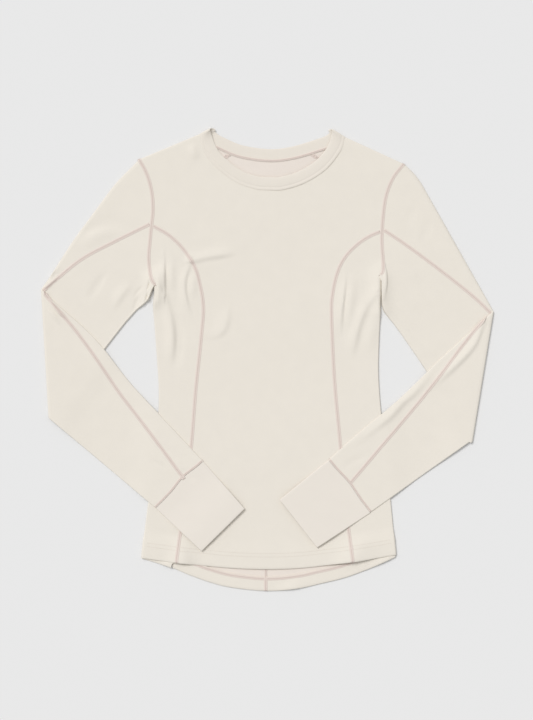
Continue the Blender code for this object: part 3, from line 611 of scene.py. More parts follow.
SIDE_FOLD = {
    "right": [(-156.6, 105.5), (-156.8, 97.0), (-158.3, 86.0), (-160.3, 72.0), (-159.2, 55.0),
              (-157.9, 38.0), (-155.7, 8.0), (-153.0, -35.0), (-153.3, -73.0), (-156.8, -115.0),
              (-161.5, -163.0), (-168.3, -206.0), (-173.6, -248.0), (-176.8, -280.0)],
    "left": [(157.4, 120.0), (157.0, 100.0), (157.0, 75.0), (157.6, 55.0), (156.8, 29.0), (156.0, -13.5),
             (157.8, -49.0), (160.2, -77.0), (165.0, -127.0), (169.6, -170.0), (174.0, -206.0),
             (180.6, -278.0)],
}

# Folds of the upper layer, right ones first. height is up for a ridge and down for a trough; width
# is to where it has died down to a third, and face is the same on the side to the left of the path;
# start and end are its strength at the two ends.
FOLD_FADE = 0.45              # from each end it gains its full height over this part of its length
Fold = namedtuple("Fold", "height width face start end path")
TOP_FOLDS = [
    Fold(3.6, 9.0, 1.4, 0.2, 0.5, [(-146.5, 147), (-146.7, 119), (-146, 92)]),
    Fold(1.92, 6.0, 6.0, 0.1, 0.2, [(-138, 150), (-136, 120), (-134, 92)]),
    Fold(3.12, 8.0, 5.0, 0.6, 0.0, [(-147, 92), (-138, 60), (-135, 24), (-140, -14)]),
    Fold(-1.68, 6.0, 6.0, 0.0, 0.0, [(-133, 70), (-126, 45), (-126, 15), (-131, -15)]),
    Fold(2.64, 8.0, 1.8, 0.4, 0.0, [(-108, 142), (-117, 114), (-115.5, 88), (-105.5, 56)]),
    Fold(1.68, 6.0, 6.0, 0.2, 0.0, [(-103, 128), (-106, 108), (-104, 84)]),
    Fold(2.28, 3.0, 9.0, 0.9, 0.0, [(-106, 141), (-88, 146), (-62, 150), (-38, 154)]),
    Fold(1.8, 12.0, 4.5, 0.0, 0.2, [(-56, 84), (-58, 58), (-63, 43), (-75, 35), (-90, 36)]),
    Fold(1.8, 7.0, 5.0, 0.0, 0.0, [(-109, 310), (-105, 297), (-98, 283)]),
    Fold(5.28, 12.0, 12.0, 0.0, 0.8, [(-160, 138), (-160, 113), (-163, 86)]),
    Fold(1.68, 1.4, 4.5, 0.1, 0.5, [(-156.6, 120), (-154.4, 102), (-155.5, 86)]),
    Fold(-2.64, 1.4, 1.4, 0.0, 0.2, [(-167, 116), (-168.5, 106), (-171, 98)]),
    Fold(-2.88, 1.3, 1.3, 0.2, 0.8, [(-169, 99), (-171, 91), (-174, 80)]),
    Fold(2.88, 9.0, 1.3, 0.1, 0.0, [(111.8, 127), (109, 97), (106, 70), (103.5, 30)]),
    Fold(2.04, 7.0, 7.0, 0.1, 0.0, [(122, 127), (119, 97), (116, 70), (112, 35)]),
    Fold(2.88, 9.0, 5.0, 0.5, 0.0, [(152, 93), (139, 75), (129, 50), (122, 20), (117, -4)]),
    Fold(1.68, 9.0, 9.0, 0.2, 0.0, [(157, 66), (148, 42), (141, 5)]),
    Fold(5.28, 12.0, 12.0, 0.0, 0.7, [(159, 146), (160, 112), (161, 70)]),
    Fold(2.4, 4.0, 1.3, 0.0, 0.2, [(164.5, 143), (168.2, 122), (168.0, 104), (165, 88)]),
]


def off_path(places, path):
    """How far each place is from a path, how far along it is from 0 to 1, and if it is to the left."""
    best = np.full(len(places), 1e9)
    along = np.zeros(len(places))
    left = np.zeros(len(places), bool)
    run = lengths(path)
    for k, (a, b) in enumerate(zip(path, path[1:])):
        way = b - a
        part = np.clip((places - a) @ way / (way @ way), 0, 1)
        gap = np.linalg.norm(places - a - part[:, None] * way, axis=1)
        nearer = gap < best
        best[nearer] = gap[nearer]
        along[nearer] = ((run[k] + part * (run[k + 1] - run[k])) / run[-1])[nearer]
        left[nearer] = (way[0] * (places[:, 1] - a[1]) - way[1] * (places[:, 0] - a[0]) > 0)[nearer]
    return best, along, left


def folds_height(places, folds):
    """What a list of folds adds to the cloth's height."""
    total = np.zeros(len(places))
    for fold in folds:
        gap, along, left = off_path(places, curve(fold.path, 6.0))
        strength = ((fold.start + (1 - fold.start) * smooth(along / FOLD_FADE))
                    * (fold.end + (1 - fold.end) * smooth((1 - along) / FOLD_FADE)))
        total += fold.height * strength * np.exp(-(gap / np.where(left, fold.face, fold.width)) ** 2)
    return total


def unevenness(places):
    """The slight swell of cloth that has been smoothed down by hand."""
    x, y = places.T
    return (0.22 * np.sin(x / 31 + y / 57 + 1.0) + 0.18 * np.sin(y / 27 - x / 68)
            + 0.12 * np.sin((x + y) / 17 + 0.6))


front_hem = curve(FRONT_HEM)
neck_front = curve(NECK_FRONT)
side_fold = {side: curve(SIDE_FOLD[side]) for side in SIDES}
EDGES = [side_fold[side][::4] for side in SIDES]
EDGES += [np.array([armhole[side][0], NECK_POINT[side]]) for side in SIDES]


def hem_lift(places):
    """The hem's second layer, and the back's under it near the sides, carry the front layer."""
    above = above_hem(places, front_hem)
    amount = HEM_LIFT + HEM_LIFT_SIDES * smooth((np.abs(places[:, 0]) - SIDES_FROM) / SIDES_BLEND)
    return (amount * smooth((TURN_UP + HEM_SETTLE - above) / HEM_SETTLE)
            + rippled(places, FRONT_RIPPLES) * smooth((FRONT_RIPPLE_REACH - above) / FRONT_RIPPLE_REACH))


def never_below(lowest, level, softness=0.3):
    """A level that comes softly to rest on the lowest one."""
    return lowest + softness * np.logaddexp(0, (level - lowest) / softness)


def lofted(edge, step):
    """The height of one layer over another, step apart, which is more near a folded edge."""
    return step + (EDGE_STEP - step) * smooth(1 - edge / LOFT_REACH)


def top_level(places):
    """Height of the middle of the upper layer over a place on the table."""
    off_edge = np.min([off_path(places, edge)[0] for edge in EDGES], axis=0)
    swell = unevenness(places) * (1 - smooth(1 - off_edge / LOFT_REACH))
    level = lofted(off_edge, UPPER_Z - BACK_Z) + hem_lift(places) + folds_height(places, TOP_FOLDS) + swell
    return never_below(BACK_Z + CLEAR_STEP, BACK_Z + level + LOOSE)


def turned_edge(cloth, row, out, steps=7):
    """Rows that take the cloth from the places of one row round a folded edge to the layer below."""
    rows = [row]
    top = cloth.points[row]
    half = (top[:, 2] - BACK_Z) / 2
    for angle in np.linspace(0, math.pi, steps + 1)[1:-1]:
        plan = top[:, :2] + out * (half * math.sin(angle))[:, None]
        z = BACK_Z + half * (1 + math.cos(angle))
        rows.append(cloth.add(np.column_stack([plan, z]), cloth.cut[row] + out * (half * angle)[:, None]))
    return rows


def shoulder_flap(cloth, ring, side):
    """Carries the front over a shoulder and down the back to the shoulder seam."""
    way = -INWARDS[side]
    fold = ring_run(ring, (armhole[side][0], NECK_POINT[side])[::way])[::way]
    out = SHOULDER_OUT[side]
    rows = turned_edge(cloth, fold, out[None])
    arm_run = armhole[side][behind_shoulder(armhole[side], side) <= SHOULDER_DROP["arm"]]
    neck_run = neck_back[behind_shoulder(neck_back, side) <= SHOULDER_DROP["neck"]][::-way]
    edge = cloth.points[fold, :2]
    across = (lengths(edge) / lengths(edge)[-1])[:, None]
    for arm_end, neck_end in zip(evenly(arm_run, count=FLAP_ROWS), evenly(neck_run, count=FLAP_ROWS)):
        plan = arm_end + (neck_end - arm_end) * across
        behind = (edge - plan) @ out
        cut = plan + out * (math.pi * EDGE_STEP / 2 + 2 * behind)[:, None]
        rows.append(cloth.add(np.column_stack([plan, np.full(len(plan), BACK_Z)]), cut))
    cloth.join(rows, flip=side == "left")


front_seam, upper_arm, lower_arm = {}, {}, {}
for side in SIDES:
    split = int(np.argmax(armhole[side][:, 1] <= MEETING_Y[side]))
    upper_arm[side], lower_arm[side] = armhole[side][:split + 1], armhole[side][split:]
    front_seam[side] = down_to(curve([armhole[side][split]] + FRONT_SEAM[side]), front_hem)
hem_run = between(front_hem, front_seam["right"][-1, 0] + 1, front_seam["left"][-1, 0] - 1)
outline = np.vstack([front_seam["right"][-1:], hem_run, front_seam["left"][::-1], upper_arm["left"][-2::-1],
                     neck_front[::-1], upper_arm["right"], front_seam["right"][1:-1]])
ring = cut_ring(outline, 2.5)
plan, faces = filled(ring, 2.6)
front = Cloth(plan, top_level, faces)
for side in SIDES:
    shoulder_flap(front, ring, side)
hem = ring_run(ring, [front_seam[side][-1] for side in SIDES])
add_turn_up(front, hem, left_of(plan[hem]), top_level, -HEM_STEP)
sew("front", front, [KNIT_OUTSIDE, KNIT_INSIDE], held="laid",
    rests_on=["back_yoke_cloth", "back_left_cloth", "back_right_cloth"])


# ==== Side panels =============================================================================
# One shaped panel each side, cut without a seam at the body's edge: it runs from the front panel
# seam round the side to the back panel seam, and ends in a point where the armhole starts.
ARMHOLE_ROWS = 60             # rows of places beside the armhole
BODY_ROWS = 190               # and from there to the hem
HEM_ROWS = 12                 # over these the rows turn until they lie along the hem
SIDE_COLUMNS = {"front": 52, "back": 22}
TURN_ROWS = 8                 # rows of places from a turned-in edge to where the inner layer ends
POINT_EASE = 0.3              # each panel's point is drawn in by this part of a row
# Beside its seam, the right panel's back layer is pushed up at the hem.
PUSHED_UP = 3.0
PUSHED_WIDTH = 20.0
PUSHED_HEIGHT = 40.0          # above the hem
PUSHED_BLEND = 30.0


def crowded(count):
    """Parts from 0 to 1, closer together towards 1."""
    return 1 - (1 - np.linspace(0, 1, count + 1)) ** 1.5


def side_layer(cloth, side, layer):
    """The places of a side panel's front or back layer, in rows that run from its seam to the fold."""
    inwards, fold = INWARDS[side], side_fold[side]
    seam, hem, level = {"front": (front_seam[side], front_hem, top_level),
                        "back": (back_seam[side], back_hem, back_level)}[layer]
    split = int(np.argmax(seam[:, 1] <= fold[0, 1]))
    inner = np.vstack([evenly(seam[:split + 1], count=ARMHOLE_ROWS)[:-1],
                       evenly(seam[split:], count=BODY_ROWS)])
    inner = inner - left_of(inner) * SEAM_GAP * inwards
    arm = evenly(lower_arm[side], count=ARMHOLE_ROWS)
    levels = np.linspace(fold[0, 1], y_at(hem, fold[-1, 0]), BODY_ROWS + 1)
    outer = np.vstack([(arm + left_of(arm) * SEAM_GAP * inwards)[:-1],
                       np.column_stack([x_at(fold, levels), levels])])
    for run in (inner, outer):
        run[0] += (run[1] - run[0]) * POINT_EASE
    part = crowded(SIDE_COLUMNS[layer])
    foot = inner[-1, 1] + (outer[-1, 1] - inner[-1, 1]) * part
    rows = []
    for r, (near, far) in enumerate(zip(inner, outer)):
        plan = near + (far - near) * part[:, None]
        rows_left = ARMHOLE_ROWS + BODY_ROWS - r
        plan[:, 1] += (y_at(hem, plan[:, 0]) - foot) * max(0.0, 1 - rows_left / HEM_ROWS)
        z = level(plan)
        cut = np.column_stack([(plan[:, 0] - fold[0, 0]) * inwards, plan[:, 1]])
        if layer == "back":
            cut[:, 0] = -cut[:, 0] - math.pi * EDGE_STEP / 2
        if layer == "back" and side == "right":
            z += (PUSHED_UP * smooth((PUSHED_HEIGHT - above_hem(plan, hem)) / PUSHED_BLEND)
                  * smooth(1 - (near[0] - plan[:, 0]) / PUSHED_WIDTH))
        rows.append(cloth.add(np.column_stack([plan, z]), cut))
    return rows


def turn_inside(cloth, rows, step, reach, turns, cut_step, flip, closed=False):
    """Turns a tube's last row in: a round fold, then a second layer inside it, behind its last rows."""
    normals = cloth.normals()
    last = rows[-1]
    edge, cut, around = cloth.points[last], cloth.cut[last], cloth.around[last]
    on = unit(edge - cloth.points[rows[-2]])
    inner = [last]
    for turn in np.radians(turns):
        place = edge + on * reach * math.sin(turn) - normals[last] * step / 2 * (1 - math.cos(turn))
        inner.append(cloth.add(place, cut, around))
    for back in range(TURN_ROWS):
        source = rows[-1 - back]
        place = cloth.points[source] - normals[source] * step
        inner.append(cloth.add(place, cut + [[0, cut_step * back]], around))
    cloth.join(inner, flip, closed)


for side in SIDES:
    panel = Cloth()
    layers = {layer: side_layer(panel, side, layer) for layer in ("front", "back")}
    around_side = []
    for front_row, back_row in zip(layers["front"][ARMHOLE_ROWS:], layers["back"][ARMHOLE_ROWS:]):
        turn = turned_edge(panel, front_row[-1:], np.array([[-INWARDS[side], 0.0]]))
        for k, row in enumerate(turn):
            panel.cut[row] = panel.cut[turn[0]] - [[math.pi * EDGE_STEP / 2 * k / len(turn), 0]]
        around_side.append(np.concatenate([front_row] + turn[1:] + [back_row[::-1]]))
    flip = side == "left"
    panel.join(layers["front"][:ARMHOLE_ROWS + 1], flip)
    panel.join([row[::-1] for row in layers["back"][:ARMHOLE_ROWS + 1]], flip)
    panel.join(around_side, flip)
    turn_inside(panel, around_side, HEM_STEP, HEM_STEP / 2, (45, 90, 135), -TURN_UP / (TURN_ROWS - 1), flip)
    sew("side_" + side, panel, [KNIT_OUTSIDE, KNIT_INSIDE], held="laid")


# ==== Sleeves =================================================================================
# A long tube of the knit with one seam that winds round it. It is pressed flat, folded over at
# the elbow, and its forearm lies across the upper arm, the gap beside the body and the body.
SleeveRow = namedtuple("SleeveRow", "along width")
SLEEVE_CUT = [SleeveRow(372.0, 118.0), SleeveRow(470.0, 106.5), SleeveRow(568.0, 95.0)]
# Close to the armpit the sleeve's under edge runs down beside the body before it turns away.
ARMPIT_CUT = {
    "right": [SleeveRow(129.0, 127.0), SleeveRow(138.0, 127.8), SleeveRow(148.0, 130.6),
              SleeveRow(152.4, 131.8), SleeveRow(160.0, 130.6), SleeveRow(174.0, 126.8),
              SleeveRow(197.0, 124.6), SleeveRow(218.0, 123.9), SleeveRow(248.0, 123.3)],
    "left": [SleeveRow(130.0, 118.8), SleeveRow(140.0, 124.4), SleeveRow(151.0, 130.0),
             SleeveRow(160.0, 134.2), SleeveRow(168.0, 136.0), SleeveRow(176.0, 135.2),
             SleeveRow(188.0, 133.0), SleeveRow(209.0, 130.2), SleeveRow(250.0, 126.6),
             SleeveRow(272.0, 124.8)],
}
ELBOW_WIDTH = 118.0
ELBOW_RADIUS = 1.3            # the middle of the flat tube turns round this at the elbow
ELBOW_EDGE = 4.45             # from the crease's middle line to the outline at the elbow
ELBOW_SETTLE = 60.0           # past its springy fold the forearm sinks over this distance
FOREARM_LIFT = 2.1            # the upper arm or the body under the forearm carries it this high
SAG_REACH = 42.0              # beside them it sinks to the table over this distance
SLEEVE_TROUGH = -0.4          # no fold makes a sleeve sink further than this
CORNER_REACH = 40.0           # the rounded shoulder corner runs out into the straight edge over this
EDGE_BULGE = EDGE_STEP / 2 + KNIT / 2
FOLD_Z = BACK_Z + EDGE_STEP / 2
PRESSED = UPPER_Z - BACK_Z    # from layer to layer away from the edges
PARTS_ACROSS = crowded(66)    # facets across one layer, closer together towards the armpit
CUFF_LIFT = 3.6               # the cuffs' ends stand this much off the body
CUFF_LIFT_FROM = 15.0         # past the cuff seam
CUFF_LIFT_OVER = 60.0
CREASE_CLEAR = 2.0            # the upper arm's folds end this far before the crease
CREASE_FADE = 5.0             # and lose their height over this distance
FOREARM_FADE = 14.0           # past the crease the forearm's folds gain theirs over this one
SWELL_BLEND = {"shoulder": 60.0, "elbow": 100.0}      # it swells and sinks again over these
PULL_WIDTH = 20.0             # of the place where a cuff seam is drawn up
PULL_PART = {"forearm": 0.15, "cuff": 0.5}            # the parts of them that go along with it
CAP_PART = 0.12               # the first part of the upper arm turns from the armhole's own direction
ARM_ROWS, ELBOW_ROWS, FOREARM_ROWS = 95, 10, 130      # of places, from the armhole to the cuff seam

# Each sleeve as it is laid: where it starts from the shoulder corner, its angles on the table, its
# lengths to the elbow and to the cuff seam, and how far the cuff seam and the cuff are askew. Its
# outer edge swells above the elbow and bows below it, and its cuff seam is drawn up at one place.
ArmPose = namedtuple("ArmPose", "corner_inset arm_angle forearm_angle elbow length slant sway")
ARM_POSE = {
    "right": ArmPose(2.2, 233.5, 313.2, 234.0, 566.0, 2.0, 2.8),
    "left": ArmPose(8.5, 299.4, 222.1, 248.3, 560.0, 6.0, -4.8),
}
ArmShape = namedtuple("ArmShape", "swell bow bow_start bow_length pull pull_across")
ARM_SHAPE = {
    "right": ArmShape(4.8, 7.0, 0.0, 195.0, 3.4, 36.0),
    "left": ArmShape(0.0, -3.2, 85.0, 190.0, 2.4, 44.0),
}
SLEEVE_FOLDS = TOP_FOLDS + [
    Fold(4.08, 4.5, 4.5, 0.7, 0.5, [(-169, 84), (-192, 57), (-228, 13)]),
    Fold(-1.68, 6.0, 6.0, 0.1, 0.0, [(-192, 186), (-222, 196), (-249, 189), (-275, 165)]),
    Fold(1.44, 9.0, 9.0, 0.0, 0.0, [(-200, 176), (-226, 182), (-252, 172), (-268, 154)]),
    Fold(-1.68, 5.0, 5.0, 0.0, 0.0, [(-226, 130), (-241, 107), (-257, 82)]),
    Fold(1.68, 8.0, 5.0, 0.0, 0.0, [(-188, 116), (-206, 95), (-224, 68)]),
    Fold(-1.68, 2.4, 2.4, 0.2, 0.4, [(-182, 92), (-186, 83), (-189, 72)]),
    Fold(-1.44, 2.2, 2.2, 0.0, 0.4, [(-176, 106), (-183, 99), (-188, 92)]),
    Fold(1.56, 3.0, 1.3, 0.0, 1.0, [(-290, 136), (-306, 122), (-319.5, 106)]),
    Fold(1.68, 3.0, 2.2, 0.0, 1.0, [(-293, 122.5), (-306, 111.5), (-319, 99.5)]),
    Fold(-1.56, 5.0, 5.0, 0.2, 0.0, [(210, 219), (204, 206), (195, 192)]),
    Fold(-1.44, 5.0, 5.0, 0.0, 0.0, [(233, 198), (225, 182), (215, 166)]),
    Fold(-1.68, 5.0, 5.0, 0.4, 0.0, [(170, 84), (190, 63), (212, 38), (234, 13)]),
    Fold(-1.2, 5.0, 5.0, 0.0, 0.0, [(206, 126), (224, 104), (238, 84)]),
]
FOREARM_FOLDS = [
    Fold(2.64, 2.4, 2.4, 0.8, 0.0, [(-316, 88), (-303.5, 77), (-292.5, 66), (-282, 58)]),
    Fold(2.64, 2.4, 2.4, 0.8, 0.0, [(-320.5, 80.5), (-308.5, 69.5), (-298.5, 58.5), (-289, 50)]),
    Fold(3.0, 7.0, 3.4, 0.7, 0.1, [(308, 56), (302, 42.5), (294, 24), (282, 8.5), (265, -8.5), (246, -26),
                                   (230, -41)]),
    Fold(2.64, 6.0, 4.6, 0.0, 0.2, [(246, 0), (224, -27), (207, -46), (191, -60), (172, -80.5), (146, -101),
                                    (125, -116)]),
    Fold(-1.2, 7.0, 7.0, 0.0, 0.0, [(-252, -8), (-266, -28), (-280, -48)]),
    Fold(-1.08, 4.0, 4.0, 0.9, 0.0, [(-132, -138), (-142, -128), (-156, -118)]),
    Fold(-0.96, 3.0, 3.0, 0.9, 0.0, [(-146, -152), (-156, -146), (-168, -138)]),
    Fold(-1.08, 4.0, 4.0, 0.9, 0.0, [(-118, -158), (-112, -164), (-100, -172)]),
    Fold(-0.96, 4.0, 4.0, 0.9, 0.0, [(112, -150), (124, -142), (142, -134)]),
]


class Arm:
    """Turns places on a sleeve's flat cut into places on the folded sleeve."""

    def __init__(self, side):
        pose = ARM_POSE[side]
        self.side, self.pose, self.shape = side, pose, ARM_SHAPE[side]
        angle = math.radians(pose.arm_angle)
        self.along = np.array([math.cos(angle), math.sin(angle)])
        self.across = np.array([-self.along[1], self.along[0]]) * INWARDS[side]
        self.start = armhole[side][0] + SHOULDER_OUT[side] * EDGE_BULGE - self.across * pose.corner_inset
        crease = math.radians(abs(pose.forearm_angle - pose.arm_angle)) / 2
        self.sin, self.cos = math.sin(crease), math.cos(crease)
        self.crease_along = pose.elbow - ELBOW_EDGE / self.sin
        self.crease_way = self.along * self.cos + self.across * self.sin
        self.crease_out = self.along * self.sin - self.across * self.cos
        self.crease_start = self.start + self.along * self.crease_along

    def flat(self, plan):
        """Where places on the table lie on the upper arm: how far along it and across it."""
        offset = plan - self.start
        return np.stack([offset @ self.along, offset @ self.across], axis=-1)

    def along_at(self, distance, across):
        """Where the line parallel to the crease, this far past it, crosses a given across."""
        return self.crease_along + (distance + across * self.cos) / self.sin

    def bow(self, along):
        """How far the sleeve's outer edge bows out of its straight lines above and below the elbow."""
        past_elbow = np.clip((along - self.pose.elbow - self.shape.bow_start) / self.shape.bow_length, 0, 1)
        before_elbow = (smooth(along / SWELL_BLEND["shoulder"])
                        * smooth((self.pose.elbow - along) / SWELL_BLEND["elbow"]))
        return self.shape.bow * np.sin(math.pi * past_elbow) ** 2 + self.shape.swell * before_elbow

    def cuff_kink(self, across):
        """How far the cuff seam is drawn up the sleeve, most where the sleeve seam meets it."""
        return self.shape.pull * np.exp(-((across - self.shape.pull_across) / PULL_WIDTH) ** 2)

    def width(self, along):
        return np.interp(along, *np.transpose(ARMPIT_CUT[self.side] + SLEEVE_CUT))

    def carried(self, plan):
        """1 where the upper arm or the body lies under the forearm, falling to 0 beside them."""
        along, across = self.flat(plan).T
        off_arm = np.maximum(across - self.width(along), -across)
        off_body = (x_at(side_fold[self.side], plan[:, 1]) - plan[:, 0]) * INWARDS[self.side]
        return smooth(1 - np.minimum(off_arm, off_body) / SAG_REACH)

    def folded(self, place, height, on_top):
        """Places on the flat cut, taken round the elbow. on_top marks the layer that is seen."""
        a, b = place[:, 0] - self.crease_along, place[:, 1]
        distance = a * self.sin - b * self.cos
        run = a * self.cos + b * self.sin
        turn_length = math.pi * ELBOW_RADIUS
        angle = np.clip(distance / ELBOW_RADIUS, 0, math.pi)
        reach = np.where(distance <= 0, distance, np.where(
            distance < turn_length, (ELBOW_RADIUS - height) * np.sin(angle), turn_length - distance))
        plan = self.crease_start + run[:, None] * self.crease_way + reach[:, None] * self.crease_out
        past = np.maximum(0, distance - turn_length)
        springy = 2 * ELBOW_RADIUS
        lift = springy + (FOREARM_LIFT * self.carried(plan) - springy) * smooth(past / ELBOW_SETTLE)
        turning = FOLD_Z + ELBOW_RADIUS - (ELBOW_RADIUS - height) * np.cos(angle)
        z = np.where(distance < turn_length, turning, FOLD_Z + lift - height)
        z += CUFF_LIFT * smooth((place[:, 0] - self.pose.length - CUFF_LIFT_FROM) / CUFF_LIFT_OVER)
        upper, fore = on_top & (distance < -CREASE_CLEAR), ~on_top & (distance > turn_length)
        for layer, folds, loose, settled in ((upper, SLEEVE_FOLDS, LOOSE, smooth(-distance / CREASE_FADE)),
                                             (fore, FOREARM_FOLDS, 0.0, smooth(past / FOREARM_FADE))):
            at = plan[layer]
            rise = (folds_height(at, folds) + unevenness(at) + loose) * settled[layer]
            z[layer] += never_below(SLEEVE_TROUGH, rise)
        return np.column_stack([plan, z])

    def loop(self, upper, outer_out, under_out, step):
        """One closed loop round the flat tube, as Cloth.add takes it."""
        half, turns = EDGE_STEP / 2, 6
        run = upper[:, 1] - upper[0, 1]
        angles = np.pi * np.arange(1, turns) / turns
        out, drop = half * np.sin(angles)[:, None], half * np.cos(angles)
        places = np.vstack([upper, upper[-1] + under_out * out, upper[::-1], upper[0] + outer_out * out])
        heights = np.concatenate([lofted(np.minimum(run, run[-1] - run), step) - half, drop,
                                  np.full(len(upper), -half), -drop])
        turn = half * angles
        back = run[-1] + math.pi * half
        u = np.concatenate([run, run[-1] + turn, back + run[-1] - run[::-1], back + run[-1] + turn])
        v = np.concatenate([upper[:, 0], np.full(turns - 1, upper[-1, 0]), upper[::-1, 0],
                            np.full(turns - 1, upper[0, 0])])
        on_top = np.arange(len(places)) < len(upper)
        return self.folded(places, heights, on_top), np.column_stack([u, v]), 2 * back

    def surface(self, along, around):
        """The cloth's middle at places on the cut. around is 0 at the front of the outer edge, positive
        over the front layer, and negative round the edge and on the back layer."""
        half = EDGE_STEP / 2
        turn = math.pi * half
        angle = np.clip(-around / half, 0, math.pi)
        across = np.where(around > -turn, -half * np.sin(angle), -around - turn)
        across = np.where(around >= 0, around, across)
        edge = np.minimum(across, self.width(along) - 2 * EDGE_BULGE - across)
        height = np.where(around >= 0, lofted(edge, PRESSED) - half, half * np.cos(angle))
        inner = 1 - across / self.width(along)
        plan = np.column_stack([along, EDGE_BULGE + across - self.bow(along) * inner])
        return self.folded(plan, height, around >= 0)

    def straight(self, outer_along, under_along, width, sway=0.0):
        """A row of places across the upper layer, from the outer to the under edge."""
        ends = np.array([[outer_along, sway + EDGE_BULGE], [under_along, sway + width - EDGE_BULGE]])
        return ends[0] + (ends[1] - ends[0]) * PARTS_ACROSS[:, None]


OUTER, UNDER = np.array([0.0, -1.0]), np.array([0.0, 1.0])


def sleeve_loops(arm):
    """The loops of a sleeve from the armhole to the cuff seam."""
    side, pose = arm.side, arm.pose
    cap = arm.flat(armhole[side] - left_of(armhole[side]) * SEAM_GAP * INWARDS[side])
    cap_out = np.array([SHOULDER_OUT[side] @ arm.along, SHOULDER_OUT[side] @ arm.across])
    cap_under = unit(cap[-1] - cap[-2])
    cap[-1] -= cap_under * EDGE_BULGE
    run = lengths(cap)
    cap = at_lengths(PARTS_ACROSS * run[-1], run, cap)
    part_across = PARTS_ACROSS[:, None]
    bend = cap - (cap[0] + (cap[-1] - cap[0]) * part_across)
    loops = [arm.loop(cap, cap_out, cap_under, PRESSED)]
    last_outer, last_under = (arm.along_at(0.0, across) for across in (EDGE_BULGE, ELBOW_WIDTH - EDGE_BULGE))
    for part in np.linspace(0, 1, ARM_ROWS + 1)[1:] ** 1.15:
        outer = cap[0] + (np.array([last_outer, EDGE_BULGE]) - cap[0]) * part
        corner = max(0, 1 - (outer[0] - cap[0, 0]) / CORNER_REACH) ** 2
        outer[1] = EDGE_BULGE + (cap[0, 1] - EDGE_BULGE) * corner - arm.bow(outer[0])
        under_along = cap[-1, 0] + (last_under - cap[-1, 0]) * part
        under = np.array([under_along, arm.width(under_along) - EDGE_BULGE])
        places = outer + (under - outer) * part_across + bend * (1 - part) ** 1.5
        turned = smooth(part / CAP_PART)
        loops.append(arm.loop(places, cap_out + (OUTER - cap_out) * turned,
                              cap_under + (UNDER - cap_under) * turned, PRESSED))
    for distance in math.pi * ELBOW_RADIUS * np.linspace(0, 1, ELBOW_ROWS + 1)[1:]:
        places = arm.straight(arm.along_at(distance, EDGE_BULGE),
                              arm.along_at(distance, ELBOW_WIDTH - EDGE_BULGE), ELBOW_WIDTH)
        loops.append(arm.loop(places, OUTER, UNDER, PRESSED))
    elbow_outer, elbow_under = places[0, 0], places[-1, 0]
    for part in np.linspace(0, 1, FOREARM_ROWS + 1)[1:]:
        outer_along = elbow_outer + (pose.length - elbow_outer) * part
        under_along = elbow_under + (pose.length + pose.slant - elbow_under) * part
        places = arm.straight(outer_along, under_along, arm.width(under_along))
        places[:, 1] -= arm.bow(places[:, 0]) * (1 - places[:, 1] / places[-1, 1])
        places[:, 0] -= arm.cuff_kink(places[:, 1]) * smooth(1 - (1 - part) / PULL_PART["forearm"])
        loops.append(arm.loop(places, OUTER, UNDER, PRESSED))
    return loops


def tube(loops, flip):
    """A sheet of loops joined one to the next, and its rows of places."""
    cloth = Cloth()
    rows = [cloth.add(*loop) for loop in loops]
    cloth.join(rows, flip, closed=True)
    return cloth, rows


arms = {side: Arm(side) for side in SIDES}
sleeves = {}
for side in SIDES:
    sleeves[side] = tube(sleeve_loops(arms[side]), flip=side == "right")
    sew("sleeve_" + side, sleeves[side][0], [KNIT_OUTSIDE, KNIT_INSIDE], held="folded",
        rests_on=["front_cloth"])


# ==== Cuffs ===================================================================================
# A band of smooth double knit at each wrist: folded lengthways so that its end is a soft fold,
# and sewn to the sleeve all round.
CUFF_LENGTH = 88.0
CUFF_END_WIDTH = 86.5
CUFF_LAYER = 0.85             # one of the two layers of the doubled knit
CUFF_STEP = 2.0               # from the lower to the upper wall of the flattened cuff
CUFF_TURN_IN = 24.0           # how far the inner layer is drawn back inside from the folded end
CUFF_FOLD = 0.51              # how far the soft fold at its end stands out
CUFF_GAP = 0.3                # between the sleeve's end and the cuff's
CUFF_ROWS = 29
CUFF_KNIT = knit_material("cuff_knit", (0.806, 0.752, 0.682), cell=0.0011, relief=0.00012, mottle=0.025)

for side in SIDES:
    arm = arms[side]
    seam_width = arm.width(arm.pose.length)
    loops = []
    for part in np.linspace(0, 1, CUFF_ROWS + 1):
        outer = arm.pose.length + CUFF_GAP + CUFF_LENGTH * part
        width = seam_width + (CUFF_END_WIDTH - seam_width) * part
        places = arm.straight(outer, outer + arm.pose.slant, width, arm.pose.sway * part)
        places[:, 0] -= arm.cuff_kink(places[:, 1]) * smooth(1 - part / PULL_PART["cuff"])
        loops.append(arm.loop(places, OUTER, UNDER, CUFF_STEP))
    flip = side == "right"
    cuff, rows = tube(loops, flip)
    turn_inside(cuff, rows, CUFF_LAYER, CUFF_FOLD, (40, 80, 120, 160), CUFF_TURN_IN / TURN_ROWS, flip,
                closed=True)
    sew("cuff_" + side, cuff, [CUFF_KNIT], "cuff_knit", CUFF_LAYER, held="laid", rests_on=["front_cloth"])


# ==== Collar ==================================================================================
# One narrow strip of the smooth knit, folded in two along its free edge and sewn round the neck.
# It stands up a little, rolls over with both shoulders and has a stitched groove along its seam.
COLLAR_BAND = 18.0
COLLAR_LAYER = 0.85
COLLAR_BLEND = 30.0           # over this distance from a shoulder the band leans out to its tip
COLLAR_RISE = 45.0            # and over this one its front half rises to the height of the shoulder
COLLAR_LIFT = 1.2             # the front half lies this much higher at the left, and rises to it
COLLAR_LIFT_FROM = -60.0      # from this x over this distance
COLLAR_LIFT_OVER = 130.0
COLLAR_LEVEL = {"front": UPPER_Z + 0.45, "shoulder": BACK_Z + EDGE_STEP + 0.3, "back": BACK_Z + 0.2}
